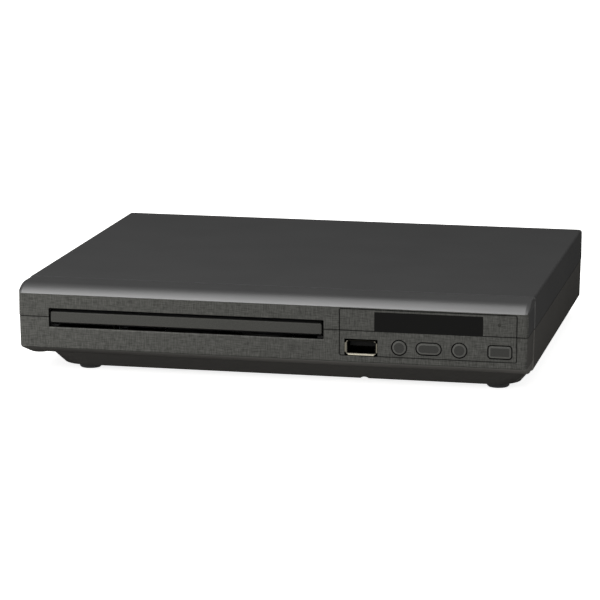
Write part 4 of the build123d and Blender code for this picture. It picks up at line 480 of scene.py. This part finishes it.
def screw_thread():
    """Right-handed thread round a core, along Y from its start."""
    tree, given = start_tree("screw_thread", (("Start", "NodeSocketVector"), ("Length", "NodeSocketFloat"),
                                              ("Lead", "NodeSocketFloat"), ("Core", "NodeSocketFloat"),
                                              ("Ridge", "NodeSocketFloat"),
                                              ("Material", "NodeSocketMaterial")))
    turns = node(tree, "ShaderNodeMath", {0: given["Length"], 1: given["Lead"]}, operation="DIVIDE")
    path = node(tree, "GeometryNodeCurveSpiral", {"Resolution": 20, "Rotations": turns.outputs["Value"],
                                                  "Start Radius": given["Core"], "End Radius": given["Core"],
                                                  "Height": given["Length"]}).outputs["Curve"]
    section = node(tree, "GeometryNodeCurvePrimitiveCircle", {"Resolution": 6, "Radius": given["Ridge"]})
    ridge = node(tree, "GeometryNodeCurveToMesh", {"Curve": path, "Profile Curve": section.outputs["Curve"],
                                                   "Fill Caps": True}).outputs["Mesh"]
    core = node(tree, "GeometryNodeMeshCylinder", {"Vertices": 24, "Radius": given["Core"],
                                                   "Depth": given["Length"]}).outputs["Mesh"]
    half = node(tree, "ShaderNodeMath", {0: given["Length"], 1: 2.0}, operation="DIVIDE").outputs["Value"]
    lift = node(tree, "ShaderNodeCombineXYZ", {"Z": half}).outputs["Vector"]
    raised = node(tree, "GeometryNodeTransform", {"Geometry": core, "Translation": lift}).outputs["Geometry"]
    both = node(tree, "GeometryNodeJoinGeometry", {"Geometry": ridge})
    tree.links.new(raised, both.inputs["Geometry"])
    laid = node(tree, "GeometryNodeTransform", {"Geometry": both.outputs["Geometry"],
                                                "Translation": given["Start"], "Rotation": (-pi / 2, 0, 0)})
    return end_tree(tree, laid.outputs["Geometry"], given["Material"])


def grow(name, tree, inputs, body):
    """Runs a geometry tree once and keeps its result as a plain mesh that rides on a body."""
    host = bpy.data.objects.new(name, bpy.data.meshes.new(name + "_host"))
    bpy.context.scene.collection.objects.link(host)
    modifier = host.modifiers.new("grow", "NODES")
    modifier.node_group = tree
    sockets = {item.name: item.identifier for item in tree.interface.items_tree if item.in_out == "INPUT"}
    for label, value in inputs.items():
        modifier[sockets[label]] = value
    host.data.update()
    view = bpy.context.evaluated_depsgraph_get()
    mesh = bpy.data.meshes.new_from_object(host.evaluated_get(view))
    host.modifiers.remove(modifier)
    mesh.name = name
    host.data = mesh
    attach(host, body)
    return host


bars = bar_grid()
tongue_low, tongue_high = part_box("usb_tongue")
first_contact = (tongue_low.x + tongue_high.x) / 2 - (CONTACT_COUNT - 1) / 2 * CONTACT_STEP
grow("usb_contacts", bars, {
    "Start": (first_contact, tongue_low.y + CONTACT_INSET, CONTACT_Z), "Bar": CONTACT_BAR,
    "Count": CONTACT_COUNT, "Step": (CONTACT_STEP, 0, 0), "Rows": 1, "Across": (0, 0, 0),
    "Material": gold_contact}, "case")
for number, (x, y, width, depth, count) in enumerate(CHIP_LEGS):
    pitch = (depth - 2 * LEG_INSET) / (count - 1)
    grow("chip_legs_%d" % number, bars, {
        "Start": (x - width / 2 - LEG_OUT, y - depth / 2 + LEG_INSET, BOARD_FACE + LEG_LIFT),
        "Bar": (LEG_LENGTH, 0.4 * pitch, LEG_THICK), "Count": count, "Step": (0, pitch, 0),
        "Rows": 2, "Across": (width + 2 * LEG_OUT, 0, 0), "Material": tinned_leg}, "case")
screw_low, screw_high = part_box("lead_screw")
screw_core = (screw_high.x - screw_low.x) / 2 - SCREW_RIDGE
thread = grow("lead_screw_thread", screw_thread(), {
    "Start": ((screw_low.x + screw_high.x) / 2, screw_low.y, (screw_low.z + screw_high.z) / 2),
    "Length": screw_high.y - screw_low.y, "Lead": SCREW_LEAD, "Core": screw_core, "Ridge": SCREW_RIDGE,
    "Material": ground_steel}, "screw")
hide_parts("lead_screw")


def area_light(name, place, target, width, depth, power):
    """Rectangular softbox that faces a target point."""
    data = bpy.data.lights.new(name, "AREA")
    data.shape = "RECTANGLE"
    data.size = width
    data.size_y = depth
    data.energy = power
    lamp = bpy.data.objects.new(name, data)
    bpy.context.scene.collection.objects.link(lamp)
    lamp.location = place
    lamp.rotation_euler = (Vector(target) - Vector(place)).to_track_quat("-Z", "Y").to_euler()
    return lamp


def seen_rays(tree):
    """1 for rays from the camera, a reflection or glass, and 0 for rays of light on a surface."""
    path = node(tree, "ShaderNodeLightPath").outputs
    either = node(tree, "ShaderNodeMath", {0: path["Is Camera Ray"], 1: path["Is Glossy Ray"]},
                  operation="MAXIMUM")
    every = node(tree, "ShaderNodeMath", {0: either.outputs["Value"], 1: path["Is Transmission Ray"]},
                 operation="MAXIMUM")
    return every.outputs["Value"]


# Softboxes: one overhead for the nose's bright band, one in front for the face
area_light("overhead_softbox", (-0.35, 0.08, 1.1), (0, -0.05, 0), 1.7, 0.45, 8.8)
area_light("front_softbox", (-0.7, -1.5, 0.9), (0, 0, 0.02), 1.0, 0.8, 9.0)

# Floor and world: white to the camera and in reflections, plain to the light
floor_mesh = bpy.data.meshes.new("studio_floor")
floor_mesh.from_pydata([(-6, -4, 0), (6, -4, 0), (6, 9, 0), (-6, 9, 0)], [], [(0, 1, 2, 3)])
floor = bpy.data.objects.new("studio_floor", floor_mesh)
bpy.context.scene.collection.objects.link(floor)
paper = bpy.data.materials.new("matt_studio_paper")
paper.use_nodes = True
tree = paper.node_tree
tree.nodes.clear()
matt = node(tree, "ShaderNodeBsdfDiffuse", {"Color": linear(FLOOR_COLOR)}).outputs["BSDF"]
lift = node(tree, "ShaderNodeEmission", {"Color": linear("#FFFFFF"), "Strength": FLOOR_LIFT})
lifted = node(tree, "ShaderNodeAddShader", {0: matt, 1: lift.outputs["Emission"]}).outputs["Shader"]
mixed = node(tree, "ShaderNodeMixShader", {0: seen_rays(tree), 1: matt, 2: lifted}).outputs["Shader"]
node(tree, "ShaderNodeOutputMaterial", {"Surface": mixed})
floor_mesh.materials.append(paper)

world = bpy.data.worlds.new("studio_world")
bpy.context.scene.world = world
world.use_nodes = True
tree = world.node_tree
tree.nodes.clear()
plain, white = [node(tree, "ShaderNodeBackground", {"Color": linear("#FFFFFF"), "Strength": strength})
                for strength in (WORLD_LEVEL, 1.0)]
mixed = node(tree, "ShaderNodeMixShader", {0: seen_rays(tree), 1: plain.outputs["Background"],
                                           2: white.outputs["Background"]})
node(tree, "ShaderNodeOutputWorld", {"Surface": mixed.outputs["Shader"]})

# Camera
camera_data = bpy.data.cameras.new("photo_camera")
camera_data.lens = CAMERA_LENS
camera = bpy.data.objects.new("photo_camera", camera_data)
bpy.context.scene.collection.objects.link(camera)
camera.location = CAMERA_PLACE
heading = Vector((sin(CAMERA_YAW) * cos(CAMERA_PITCH), cos(CAMERA_YAW) * cos(CAMERA_PITCH),
                  sin(CAMERA_PITCH)))
turned = heading.to_track_quat("-Z", "Y") @ Quaternion((0, 0, 1), CAMERA_ROLL)
camera.rotation_euler = turned.to_euler()
bpy.context.scene.camera = camera
bpy.context.scene.view_settings.view_transform = "Standard"
